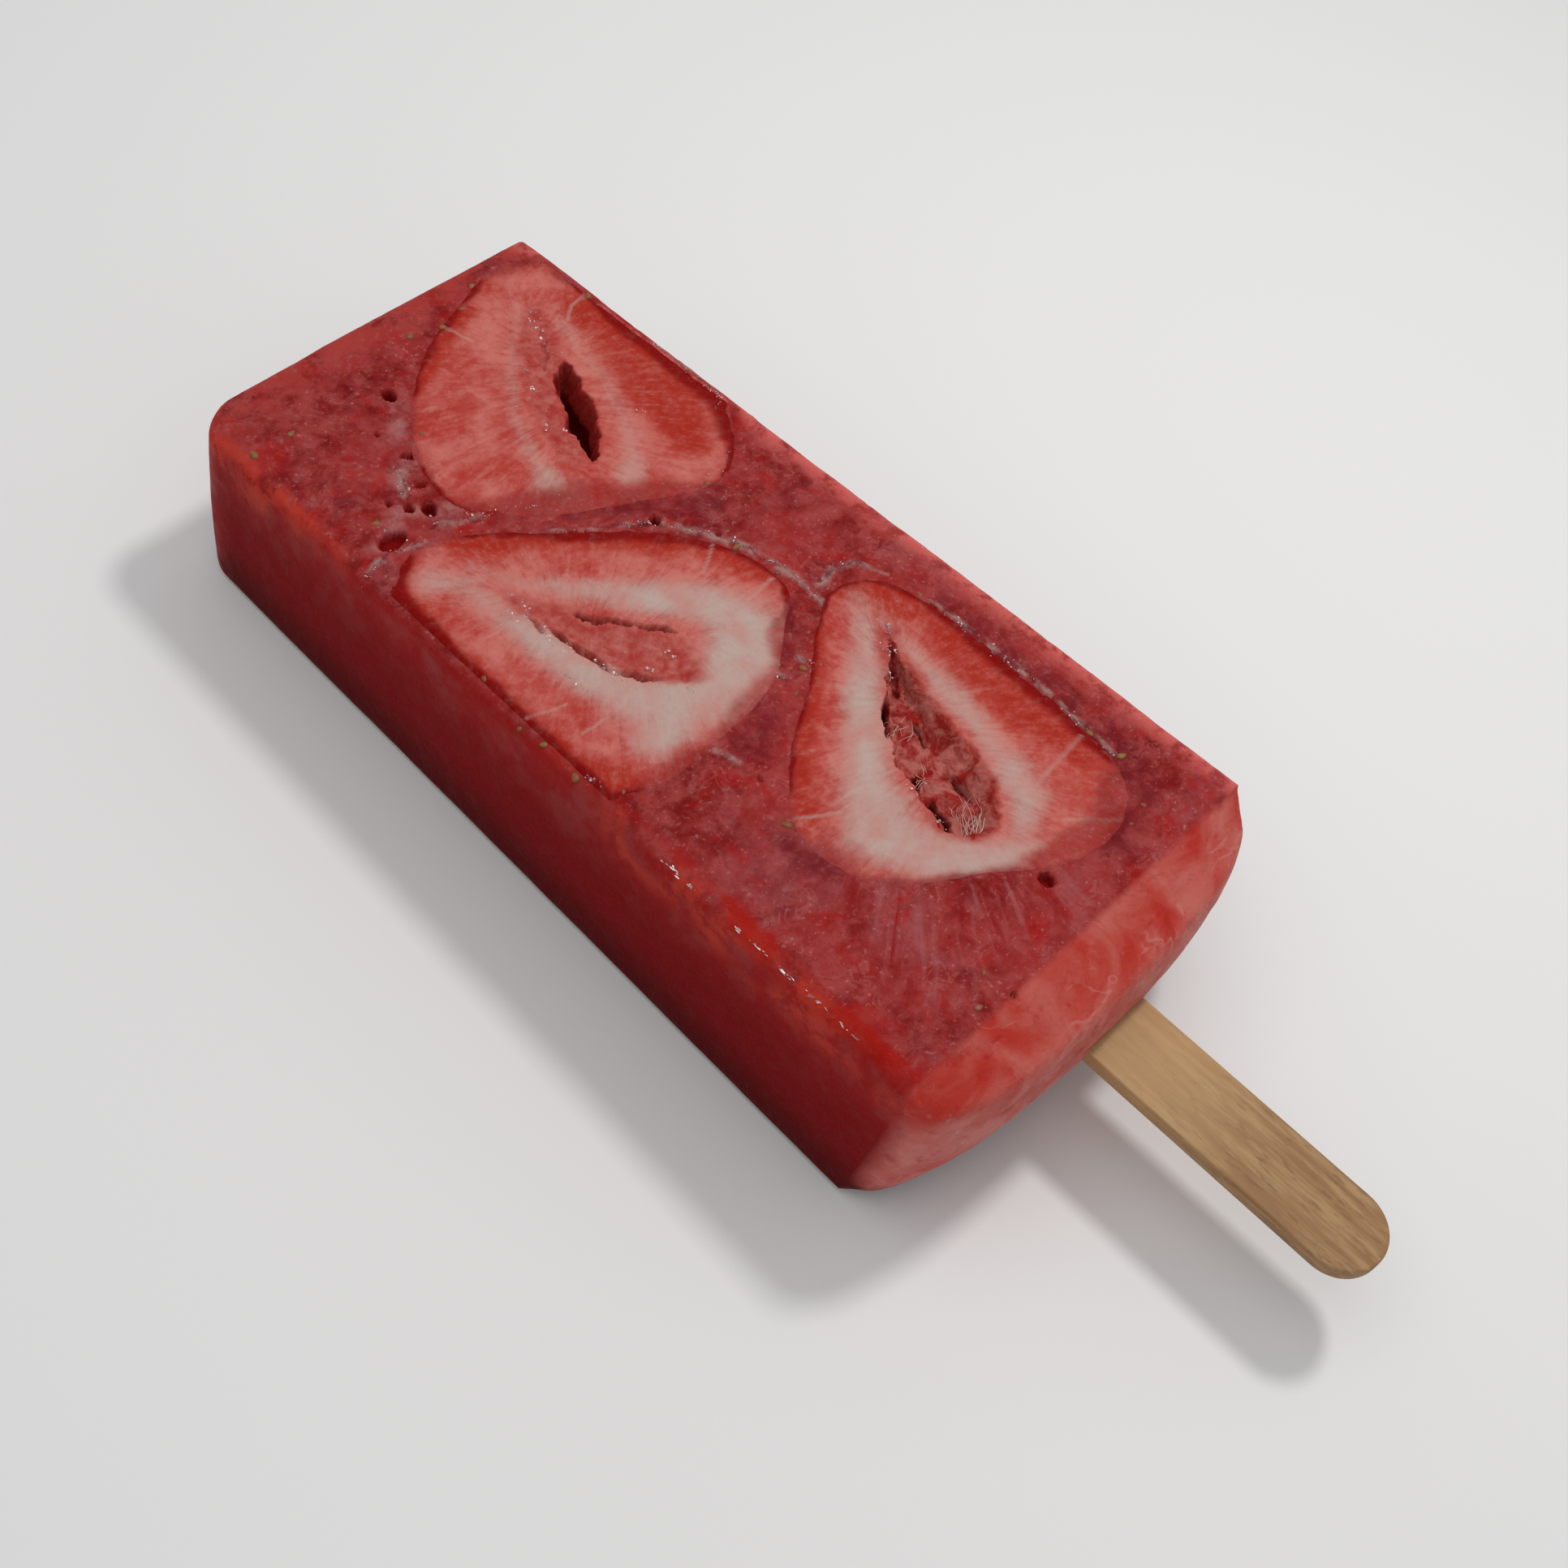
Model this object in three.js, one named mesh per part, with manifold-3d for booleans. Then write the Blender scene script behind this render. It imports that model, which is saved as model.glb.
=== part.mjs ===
// A strawberry ice pop lying on its back: a slab of frozen fruit puree, the three halved
// strawberries frozen into its upper face, and the flat wooden stick in its open end.
// Millimetres. +Y runs from the stick to the far end of the slab, +X is to the right, and
// +Z is up. The origin is at the middle of the underside of the whole pop.

import * as THREE from 'three';
import { mergeVertices } from 'three/addons/utils/BufferGeometryUtils.js';
import Module from 'manifold-3d';

// ---- driving dimensions ----

const slab = {
  length: 106.8, // shoulder line to the middle of the far end
  stickEndWidth: 52.8,
  farEndWidth: 48,
  stickEndThickness: 26.1,
  farEndThickness: 22.7,
  crown: 8, // how far the frozen-out stick end bulges past its shoulder line
  crownPower: 2.6, // squareness of that bulge seen from above
  farCrown: 0.6, // the slight belly of the far end
  undercut: 2.2, // how far the stick end leans back down to the underside
  leftEdgeRadius: 2.2, // the upper left edge has melted softer than the others
  rightEdgeRadius: 0.9,
  undersideRadius: 1.2,
  farLeftCornerRadius: 5,
  farRightCornerRadius: 1.8,
};

// Heights as shares of the local thickness, with the share of the crown reached there.
// The shoulder line on top and the underside have none of it, and a flat chamfer joins the
// upper shoulder line to the ridge at 0.86.
const slabLevels = [
  { height: 0, crownShare: 0 },
  { height: 0.015, crownShare: 0.12 },
  { height: 0.05, crownShare: 0.32 },
  { height: 0.14, crownShare: 0.8 },
  { height: 0.3, crownShare: 0.94 },
  { height: 0.5, crownShare: 1 },
  { height: 0.68, crownShare: 0.97 },
  { height: 0.8, crownShare: 0.9 },
  { height: 0.86, crownShare: 0.82 },
  { height: 0.91, crownShare: 0.53 },
  { height: 0.955, crownShare: 0.265 },
  { height: 0.985, crownShare: 0.09 },
  { height: 1, crownShare: 0 },
];

const stick = {
  length: 114,
  width: 9.5,
  thickness: 2,
  bare: 32.2, // what shows past the crown of the slab
  offset: 1.9, // the stick froze in a little right of the centre line
  height: 13, // its mid-plane above the underside
  edgeRound: 0.3,
};

// Each half strawberry: the outline of its cut face in slab coordinates, x from the centre
// line and y from the shoulder line, anticlockwise, and the hollow core of the fruit.
const slices = [
  {
    name: 'strawberry_far',
    depth: 6,
    outline: [
      [14.5, 64.3], [19.2, 66.6], [22.4, 70.6], [25.6, 75.5], [26, 96], [23.2, 101.4], [17.6, 104.9],
      [11.5, 103], [3.2, 99.6], [-4.8, 93.4], [-9.6, 86.4], [-10.6, 79.4], [-5.4, 73.4], [5.2, 67.6],
    ],
    core: { x: 9.6, y: 81.4, length: 17, width: 3.4, lean: 30, depth: 3.6 },
  },
  {
    name: 'strawberry_left',
    depth: 5.5,
    outline: [
      [-20.8, 39.8], [-11, 39.4], [-1, 41.2], [4.4, 45], [9, 48.8], [8.6, 56], [2.8, 64.2],
      [-5.2, 70.4], [-12.2, 75.8], [-18.6, 77.6], [-22.9, 73.8], [-24.2, 65], [-25.6, 56], [-25.4, 45],
    ],
    core: { x: -9, y: 55.6, length: 14, width: 3, lean: -34, depth: 2.6 },
  },
  {
    name: 'strawberry_near',
    depth: 5.5,
    outline: [
      [4, 6.6], [12, 5.4], [17.4, 9], [19, 16], [19.4, 28], [19.2, 38], [17.2, 43.8], [12.6, 45.8],
      [7.8, 43.6], [1, 38.6], [-7.6, 33.2], [-13, 27.2], [-13.2, 20.6], [-9.2, 15.2], [-2.6, 11.2],
    ],
    core: { x: 5, y: 26, length: 25, width: 8, lean: 31, depth: 3.4 },
  },
];

const gap = 0.3; // room left between a frozen-in piece and its pocket
const overshoot = 1.5; // how far cutters stand past the face they cut
const crownSteps = 40;
const cornerSteps = 6;
const sliceSteps = 64;
const coreSteps = 28;

// Depth below the cut face, and how far the rounded skin has drawn in there.
const sliceLevels = [
  { depthShare: 1, inset: 2.6 },
  { depthShare: 0.72, inset: 1.1 },
  { depthShare: 0.38, inset: 0.3 },
  { depthShare: 0, inset: 0 },
];

const shoulderY = stick.bare + slab.crown - (stick.bare + slab.crown + slab.length + slab.farCrown) / 2;

// ---- shapes ----

function lerp(a, b, share) {
  return a + (b - a) * share;
}

function thicknessAt(y) {
  return lerp(slab.stickEndThickness, slab.farEndThickness, y / slab.length);
}

function halfWidthAt(y) {
  return lerp(slab.stickEndWidth, slab.farEndWidth, y / slab.length) / 2;
}

// How far a rounded edge has drawn in at a distance from the face that it leads to.
function edgeInset(distance, radius) {
  const rise = Math.max(radius - distance, 0);
  return radius - Math.sqrt(radius * radius - rise * rise);
}

// A closed solid through rings of equal length that run anticlockwise and climb.
function loft(rings) {
  const count = rings[0].length;
  const positions = rings.flat().flatMap((point) => [point.x, point.y, point.z]);
  const indices = [];
  for (let level = 0; level < rings.length - 1; level += 1) {
    for (let step = 0; step < count; step += 1) {
      const low = level * count + step;
      const lowNext = level * count + ((step + 1) % count);
      indices.push(low, lowNext, lowNext + count, low, lowNext + count, low + count);
    }
  }
  const topStart = (rings.length - 1) * count;
  const flat = (ring) => ring.map((point) => new THREE.Vector2(point.x, point.y));
  for (const [a, b, c] of THREE.ShapeUtils.triangulateShape(flat(rings[0]), [])) {
    indices.push(a, c, b);
  }
  for (const [a, b, c] of THREE.ShapeUtils.triangulateShape(flat(rings.at(-1)), [])) {
    indices.push(topStart + a, topStart + b, topStart + c);
  }
  const geometry = new THREE.BufferGeometry();
  geometry.setAttribute('position', new THREE.Float32BufferAttribute(positions, 3));
  geometry.setIndex(indices);
  return geometry;
}

// One level of the slab, anticlockwise from its near left corner.
function slabRing({ height, crownShare }) {
  const fromTop = (1 - height) * slab.stickEndThickness;
  const fromUnderside = height * slab.stickEndThickness;
  const below = edgeInset(fromUnderside, slab.undersideRadius);
  const leftInset = edgeInset(fromTop, slab.leftEdgeRadius) + below;
  const rightInset = edgeInset(fromTop, slab.rightEdgeRadius) + below;
  const farY = slab.length + slab.farCrown * Math.sin(Math.PI * height) - rightInset;
  const leanBack = slab.undercut * (1 - height) ** 1.5;
  const plan = [];
  for (let step = 0; step <= crownSteps; step += 1) {
    const across = -Math.cos((Math.PI * step) / crownSteps);
    const inset = across < 0 ? leftInset : rightInset;
    const reach = (1 - Math.abs(across) ** slab.crownPower) ** (1 / slab.crownPower);
    const y = leanBack - slab.crown * crownShare * reach;
    plan.push([across * (halfWidthAt(0) - inset), y]);
  }
  const corner = (side, radius, inset, startAngle) => {
    const centreX = side * (halfWidthAt(farY) - inset - radius);
    for (let step = 0; step <= cornerSteps; step += 1) {
      const angle = startAngle + (Math.PI / 2) * (step / cornerSteps);
      plan.push([centreX + radius * Math.cos(angle), farY - radius + radius * Math.sin(angle)]);
    }
  };
  corner(1, slab.farRightCornerRadius, rightInset, 0);
  corner(-1, slab.farLeftCornerRadius, leftInset, Math.PI / 2);
  return plan.map(([x, y]) => new THREE.Vector3(x, y + shoulderY, height * thicknessAt(y)));
}

function slabGeometry() {
  return loft(slabLevels.map(slabRing));
}

// The cut face's outline as an even run of points, with the outward direction at each.
function sliceOutline(slice) {
  const knots = slice.outline.map(([x, y]) => new THREE.Vector3(x, y, 0));
  const curve = new THREE.CatmullRomCurve3(knots, true, 'centripetal');
  const points = curve.getSpacedPoints(sliceSteps).slice(0, -1);
  return points.map((point, step) => {
    const before = points.at(step - 1);
    const after = points[(step + 1) % points.length];
    const along = after.clone().sub(before).normalize();
    return { point, outward: new THREE.Vector3(along.y, -along.x, 0) };
  });
}

// A half strawberry, its skin drawn in towards the bottom. grow widens it into its pocket.
function sliceGeometry(slice, grow) {
  const outline = sliceOutline(slice);
  const ringAt = (depth, inset) => outline.map(({ point, outward }) => {
    const moved = point.clone().addScaledVector(outward, grow - inset);
    return new THREE.Vector3(moved.x, moved.y + shoulderY, thicknessAt(moved.y) - depth);
  });
  const rings = sliceLevels.map((level) => ringAt(level.depthShare * slice.depth + grow, level.inset));
  rings.push(ringAt(-overshoot, 0));
  return loft(rings);
}

// The hollow heart of the fruit: a leaning spindle that narrows as it goes down.
function coreGeometry({ x, y, length, width, lean, depth }) {
  const turn = THREE.MathUtils.degToRad(-lean);
  const narrowing = [
    { level: -depth, share: 0.25 },
    { level: -depth * 0.6, share: 0.7 },
    { level: 0, share: 1 },
    { level: overshoot, share: 1.05 },
  ];
  return loft(narrowing.map(({ level, share }) => {
    const ring = [];
    for (let step = 0; step < coreSteps; step += 1) {
      const angle = (2 * Math.PI * step) / coreSteps;
      const across = (width / 2) * share * Math.cos(angle) * Math.abs(Math.cos(angle)) ** 0.3;
      const along = (length / 2) * share * Math.sin(angle);
      const turnedX = x + across * Math.cos(turn) - along * Math.sin(turn);
      const turnedY = y + across * Math.sin(turn) + along * Math.cos(turn);
      ring.push(new THREE.Vector3(turnedX, turnedY + shoulderY, thicknessAt(turnedY) + level));
    }
    return ring;
  }));
}

// The stick, or with grow the slot that it sits in.
function stickGeometry(grow) {
  const radius = stick.width / 2 + grow;
  const run = stick.length - stick.width;
  const outline = new THREE.Shape();
  outline.absarc(0, 0, radius, Math.PI, 2 * Math.PI);
  outline.absarc(0, run, radius, 0, Math.PI);
  const geometry = new THREE.ExtrudeGeometry(outline, {
    depth: stick.thickness + 2 * grow - 2 * stick.edgeRound,
    curveSegments: 16,
    bevelThickness: stick.edgeRound,
    bevelSize: stick.edgeRound,
    bevelOffset: -stick.edgeRound,
    bevelSegments: 2,
  });
  const tipY = shoulderY - slab.crown - stick.bare;
  const lift = stick.height - stick.thickness / 2 - grow + stick.edgeRound;
  return geometry.translate(stick.offset, tipY + stick.width / 2, lift);
}

// ---- joins and cuts ----

const wasm = await Module();
wasm.setup();

function solidOf(geometry) {
  const bare = geometry.clone();
  bare.deleteAttribute('normal');
  bare.deleteAttribute('uv');
  const merged = mergeVertices(bare);
  const vertProperties = new Float32Array(merged.attributes.position.array);
  const triVerts = new Uint32Array(merged.index.array);
  return new wasm.Manifold(new wasm.Mesh({ numProp: 3, vertProperties, triVerts }));
}

function geometryOf(solid) {
  const mesh = solid.getMesh();
  const geometry = new THREE.BufferGeometry();
  geometry.setAttribute('position', new THREE.BufferAttribute(mesh.vertProperties, 3));
  geometry.setIndex(new THREE.BufferAttribute(mesh.triVerts, 1));
  geometry.computeVertexNormals();
  return geometry;
}

// ---- sub-parts ----

const pureeIce = new THREE.MeshStandardMaterial({ color: 0xa5373a, roughness: 0.35, metalness: 0 });
const berryFlesh = new THREE.MeshStandardMaterial({ color: 0xc4524c, roughness: 0.4, metalness: 0 });
const paleWood = new THREE.MeshStandardMaterial({ color: 0xb98f62, roughness: 0.7, metalness: 0 });

function named(name, geometry, material) {
  const mesh = new THREE.Mesh(geometry, material);
  mesh.name = name;
  return mesh;
}

const wholeSlab = solidOf(slabGeometry());

function makeSlab() {
  const pockets = slices.map((slice) => solidOf(sliceGeometry(slice, gap)));
  const slot = solidOf(stickGeometry(gap));
  const carved = [...pockets, slot].reduce((solid, cutter) => solid.subtract(cutter), wholeSlab);
  return named('fruit_ice', geometryOf(carved), pureeIce);
}

function makeSlice(slice) {
  const trimmed = solidOf(sliceGeometry(slice, 0)).intersect(wholeSlab);
  const hollowed = trimmed.subtract(solidOf(coreGeometry(slice.core)));
  return named(slice.name, geometryOf(hollowed), berryFlesh);
}

function makeStick() {
  return named('stick', stickGeometry(0), paleWood);
}

const icePop = new THREE.Group();
icePop.add(makeSlab(), ...slices.map(makeSlice), makeStick());

export default icePop;
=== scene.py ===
import itertools
import math
import random

import bmesh
import bpy
import numpy as np
from mathutils import Euler, Matrix, Vector


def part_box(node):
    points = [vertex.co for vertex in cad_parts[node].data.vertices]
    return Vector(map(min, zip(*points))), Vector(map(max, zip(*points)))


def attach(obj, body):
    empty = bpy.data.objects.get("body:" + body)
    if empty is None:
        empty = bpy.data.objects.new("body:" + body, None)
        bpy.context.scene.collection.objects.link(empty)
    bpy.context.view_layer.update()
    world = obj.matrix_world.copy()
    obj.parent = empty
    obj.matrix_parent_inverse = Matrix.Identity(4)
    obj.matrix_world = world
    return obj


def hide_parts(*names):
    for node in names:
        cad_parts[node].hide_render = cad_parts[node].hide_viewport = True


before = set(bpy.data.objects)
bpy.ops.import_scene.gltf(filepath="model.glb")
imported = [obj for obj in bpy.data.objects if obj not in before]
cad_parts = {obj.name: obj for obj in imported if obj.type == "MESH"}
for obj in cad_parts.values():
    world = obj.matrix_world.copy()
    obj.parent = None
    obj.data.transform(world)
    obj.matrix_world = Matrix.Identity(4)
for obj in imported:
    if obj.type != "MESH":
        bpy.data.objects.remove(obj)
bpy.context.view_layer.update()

# A strawberry ice pop on its back. +Y runs from the stick to the far end, +Z is up.
# Places are given on the slab: x from its centre line and y from its shoulder line, in mm.

mm = 0.001
iceLow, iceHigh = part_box("fruit_ice")

slab = {
    "crown": 8.0,               # how far the stick end bulges past the shoulder line
    "crownPower": 2.6,          # squareness of that bulge seen from above
    "farWidth": 48.0,
    "farThickness": 22.7,
    "farCrown": 0.6,
    "undercut": 2.2,            # how far the stick end leans back to the underside
    "leftEdgeRadius": 2.2,      # melted softer than the other edges
    "rightEdgeRadius": 0.7,
    "fleshReach": 1.3,          # how near the fruit on the left edge comes to the slab's left side
    "fleshBlend": 1.4,          # how far inwards the fruit's outline is drawn out to there
    "undersideRadius": 1.2,
    "farLeftCornerRadius": 5.0,
    "farRightCornerRadius": 0.5,
    "ridge": 0.86,              # share of the height where the upper chamfer starts
    "crownRows": [(0, 0), (0.015, 0.12), (0.05, 0.32), (0.14, 0.8), (0.3, 0.94), (0.5, 1), (0.68, 0.97),
                  (0.8, 0.9), (0.86, 0.82), (1, 0)],   # height, and the share of the bulge reached there
    "cells": (96, 200, 36),     # squares across, along and up
    "chamferCells": 0.3,        # share of the squares up that the chamfer gets
}
slab["width"] = (iceHigh.x - iceLow.x) / mm
slab["thickness"] = iceHigh.z / mm
slab["shoulder"] = iceLow.y / mm + slab["crown"]
slab["length"] = iceHigh.y / mm - slab["shoulder"] - slab["farCrown"]


def lerp(a, b, share):
    return a + (b - a) * share


def smooth(low, high, value):  # 0 below low, 1 above high, eased between
    share = np.clip((value - low) / (high - low), 0, 1)
    return share * share * (3 - 2 * share)


def waves(points, size, seed, octaves=1):  # soft three-dimensional noise, about -1 to 1
    total = np.zeros(len(points))
    for octave in range(octaves):
        cells = points * (2 ** octave / size) + 31.7 * octave
        base = np.floor(cells).astype(np.int64)
        part = cells - base
        part = part * part * (3 - 2 * part)
        for corner in itertools.product((0, 1), repeat=3):
            key = (base + corner) * (73856093, 19349663, 83492791)
            mixed = (key[:, 0] ^ key[:, 1] ^ key[:, 2] ^ (seed * 2654435761)) & 0xFFFFFFFF
            mixed = ((mixed ^ (mixed >> 15)) * 2246822519) & 0xFFFFFFFF
            mixed = ((mixed ^ (mixed >> 13)) * 3266489917) & 0xFFFFFFFF
            weight = np.prod(np.where(np.array(corner) == 1, part, 1 - part), axis=1)
            total += weight * ((mixed ^ (mixed >> 16)) / 0x7FFFFFFF - 1) / 2 ** octave
    return total


def thicknessAt(y):
    return lerp(slab["thickness"], slab["farThickness"], y / slab["length"])


def halfWidthAt(y):
    return lerp(slab["width"], slab["farWidth"], y / slab["length"]) / 2


def onSlab(points):  # slab millimetres to frame metres
    return (points + (0, slab["shoulder"], 0)) * mm


def toSlab(points):
    return points / mm - (0, slab["shoulder"], 0)


def awayFrom(points, line):  # distance to an open run of points
    best = np.full(len(points), 1e9)
    line = np.array(line, float)
    for start, end in zip(line[:-1], line[1:]):
        run = end - start
        along = np.clip(((points - start) @ run) / (run @ run), 0, 1)
        best = np.minimum(best, np.linalg.norm(points - start - along[:, None] * run, axis=1))
    return best


def insideBy(points, loop):  # distance to a closed outline, positive inside
    away = awayFrom(points, np.vstack([loop, loop[:1]]))
    crossings = np.zeros(len(points), int)
    for (ax, ay), (bx, by) in zip(loop, np.roll(loop, -1, axis=0)):
        if ay == by:
            continue
        spans = (ay > points[:, 1]) != (by > points[:, 1])
        crossings += spans & (points[:, 0] < ax + (points[:, 1] - ay) * (bx - ax) / (by - ay))
    return np.where(crossings % 2 == 1, away, -away)


def alongRuns(flat, runs):  # for each straight part of the runs, the distance to it and its half width
    for run in runs:
        run = np.array(run, float)
        for start, end in zip(run[:-1], run[1:]):
            way = end[:2] - start[:2]
            along = np.clip(((flat - start[:2]) @ way) / (way @ way), 0, 1)
            away = np.linalg.norm(flat - start[:2] - along[:, None] * way, axis=1)
            yield away, lerp(start[2], end[2], along)


# How far runs of x, y and half width cover each place. A full width makes thinner parts fainter.
def coverOf(flat, runs, fade, spread=0.0, full=0.0):
    best = np.zeros(len(flat))
    for away, wide in alongRuns(flat, runs):
        low, high = wide * (1 - spread) - fade, wide * (1 + spread) + fade
        cover = smooth(high, np.maximum(low, 0), away)
        if full:
            cover = cover * np.clip(wide / full, 0.3, 1)
        best = np.maximum(best, cover)
    return best


def rimBand(flat, runs, rim):  # a band inside an outline, as wide as the runs beside it say
    best = np.zeros(len(flat))
    for away, wide in alongRuns(flat, runs):
        best = np.maximum(best, smooth(2.3 * wide, 0.4 * wide, rim) * smooth(3.4, 1.6, away))
    return best


def strayed(flat, size, reach, seed):  # places moved about a little, for uneven edges
    lifted = np.column_stack([flat, np.zeros(len(flat))])
    moves = [waves(lifted, size, seed + axis, 2) for axis in (0, 1)]
    return flat + reach * np.stack(moves, axis=1)


def pitDepth(flat, places):  # places are x, y, half length, half width, lean and depth
    depth = np.zeros(len(flat))
    lip = np.zeros(len(flat))
    for x, y, long, wide, lean, deep in places:
        turn = math.radians(lean)
        along = (flat[:, 0] - x) * math.sin(turn) + (flat[:, 1] - y) * math.cos(turn)
        across = (flat[:, 0] - x) * math.cos(turn) - (flat[:, 1] - y) * math.sin(turn)
        away = np.hypot(along / long, across / wide)
        depth = np.maximum(depth, deep * (1 - smooth(0.55, 1.05, away)))
        lip = np.maximum(lip, smooth(1.6, 1.15, away) * smooth(0.95, 1.1, away))
    return depth, lip


def meshPoints(mesh):
    flat = np.empty(len(mesh.vertices) * 3)
    mesh.vertices.foreach_get("co", flat)
    return flat.reshape(-1, 3)


def setPoints(mesh, points):
    mesh.vertices.foreach_set("co", np.asarray(points, float).ravel())
    mesh.update()


def meshNormals(mesh):
    flat = np.empty(len(mesh.vertices) * 3)
    mesh.vertices.foreach_get("normal", flat)
    return flat.reshape(-1, 3)


def paintShare(mesh, name, values):
    layer = mesh.attributes.new(name, "FLOAT", "POINT")
    layer.data.foreach_set("value", np.clip(values, 0, 1).astype(np.float32))


def addPiece(name, mesh, material, slot, *nodes):
    piece = bpy.data.objects.new(name, mesh)
    bpy.context.scene.collection.objects.link(piece)
    mesh.materials.append(material)
    mesh.polygons.foreach_set("use_smooth", [True] * len(mesh.polygons))
    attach(piece, "root")
    if nodes:
        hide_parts(*nodes)
    mesh.calc_loop_triangles()
    print(name, len(mesh.loop_triangles), "triangles")


def meshFrom(bm, name):
    mesh = bpy.data.meshes.new(name)
    bm.to_mesh(mesh)
    bm.free()
    return mesh


def closeUp(mesh, apart):  # nearer points are joined, holes filled and faces turned outwards
    bm = bmesh.new()
    bm.from_mesh(mesh)
    bmesh.ops.remove_doubles(bm, verts=bm.verts[:], dist=apart)
    bmesh.ops.holes_fill(bm, edges=[e for e in bm.edges if e.is_boundary], sides=0)
    bmesh.ops.recalc_face_normals(bm, faces=bm.faces[:])
    bm.to_mesh(mesh)
    bm.free()


def tone(code):  # a screen colour such as "a5373a" as linear values
    parts = [int(code[at:at + 2], 16) / 255 for at in (0, 2, 4)]
    return (*[p / 12.92 if p <= 0.04045 else ((p + 0.055) / 1.055) ** 2.4 for p in parts], 1)


def addNode(tree, kind, wires=None, **settings):
    made = tree.nodes.new("ShaderNode" + kind)
    for key, value in settings.items():
        setattr(made, key, value)
    for socket, value in (wires or {}).items():
        if isinstance(value, bpy.types.NodeSocket):
            tree.links.new(value, made.inputs[socket])
        else:
            made.inputs[socket].default_value = value
    return made


def startMaterial(name):
    material = bpy.data.materials.new(name)
    material.use_nodes = True
    tree = material.node_tree
    tree.nodes.clear()
    shader = addNode(tree, "BsdfPrincipled")
    output = addNode(tree, "OutputMaterial")
    tree.links.new(shader.outputs[0], output.inputs[0])
    return material, tree, shader


def placeIn(tree, scale=(1000, 1000, 1000)):  # millimetres of the frame
    where = addNode(tree, "TexCoord").outputs["Object"]
    return addNode(tree, "Mapping", {"Vector": where, "Scale": scale}).outputs[0]


def noiseAt(tree, where, scale, detail=2.0, roughness=0.5, distortion=0.0):
    wires = {"Vector": where, "Scale": scale, "Detail": detail, "Roughness": roughness,
             "Distortion": distortion}
    return addNode(tree, "TexNoise", wires).outputs["Fac"]


def shape(tree, value, low, high, start=0.0, end=1.0):  # eased step from low to high
    wires = {"Value": value, "From Min": low, "From Max": high, "To Min": start, "To Max": end}
    return addNode(tree, "MapRange", wires, interpolation_type="SMOOTHSTEP").outputs[0]


def sums(tree, operation, first, second=0.0):
    return addNode(tree, "Math", {0: first, 1: second}, operation=operation).outputs[0]


def tint(tree, share, first, second):  # the second colour laid over the first
    return addNode(tree, "Mix", {0: share, 6: first, 7: second}, data_type="RGBA").outputs[2]


def times(tree, first, *others):
    for other in others:
        first = sums(tree, "MULTIPLY", first, other)
    return first


def plus(tree, first, second):
    return sums(tree, "ADD", first, second)


def swing(tree, value, reach):  # a noise made to swing about zero
    return times(tree, sums(tree, "SUBTRACT", value, 0.5), reach)


def readShare(tree, name):
    return addNode(tree, "Attribute", attribute_name=name).outputs["Fac"]


def veinAt(tree, value, width):  # a thin line where a noise crosses its middle
    return shape(tree, sums(tree, "ABSOLUTE", sums(tree, "SUBTRACT", value, 0.5)), width, 0, 0, 1)


def addBump(tree, shader, height, strength, distance):
    wires = {"Height": height, "Strength": strength, "Distance": distance}
    tree.links.new(addNode(tree, "Bump", wires).outputs[0], shader.inputs["Normal"])


view = {
    "lens": 48.45,
    "sensor": 36,
    "target": (-1.846, 35.615, 12.0),   # on the slab
    "distance": 224.356,
    "pitch": 54.247,                    # looking down by this
    "turn": -59.982,
    "roll": 16.674,
}


def makeCamera():
    camera = bpy.data.cameras.new("camera")
    camera.lens = view["lens"]
    camera.sensor_width = view["sensor"]
    camera.clip_start = 0.01
    holder = bpy.data.objects.new("camera", camera)
    bpy.context.scene.collection.objects.link(holder)
    turned = (Matrix.Rotation(math.radians(view["turn"]), 4, "Z")
              @ Matrix.Rotation(math.radians(90 - view["pitch"]), 4, "X")
              @ Matrix.Rotation(math.radians(view["roll"]), 4, "Z"))
    target = Vector(onSlab(np.array(view["target"])))
    back = Matrix.Translation((0, 0, view["distance"] * mm))
    holder.matrix_world = Matrix.Translation(target) @ turned @ back
    bpy.context.scene.camera = holder
    print("camera")


light = {   # places and sizes in metres
    "key": {
        "place": (0.147, -0.008, 0.350),
        "size": 0.055,
        "power": 0.523,
        "colour": (1.0, 0.985, 0.96),
    },
    "soft": {
        "place": (-0.28, 0.16, 0.95),
        "size": 0.9,
        "power": 1.8,
        "colour": (1.0, 1.0, 1.0),
    },
    "sky": (0.99, 0.99, 1.0, 1),
    "skyPower": 0.50,
    "floor": "e4e4e4",
    "floorReach": 3,     # metres each way
    "floorRoughness": 0.7,
}


def makeLight():
    for name in ("key", "soft"):
        facts = light[name]
        lamp = bpy.data.lights.new(name, "AREA")
        lamp.shape = "DISK"
        lamp.size = facts["size"]
        lamp.energy = facts["power"]
        lamp.color = facts["colour"]
        holder = bpy.data.objects.new(name, lamp)
        bpy.context.scene.collection.objects.link(holder)
        holder.location = facts["place"]
        holder.rotation_euler = (-Vector(facts["place"])).to_track_quat("-Z", "Y").to_euler()
    world = bpy.data.worlds.new("sky")
    bpy.context.scene.world = world
    world.use_nodes = True
    background = world.node_tree.nodes["Background"]
    background.inputs["Color"].default_value = light["sky"]
    background.inputs["Strength"].default_value = light["skyPower"]
    print("lights")


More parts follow.
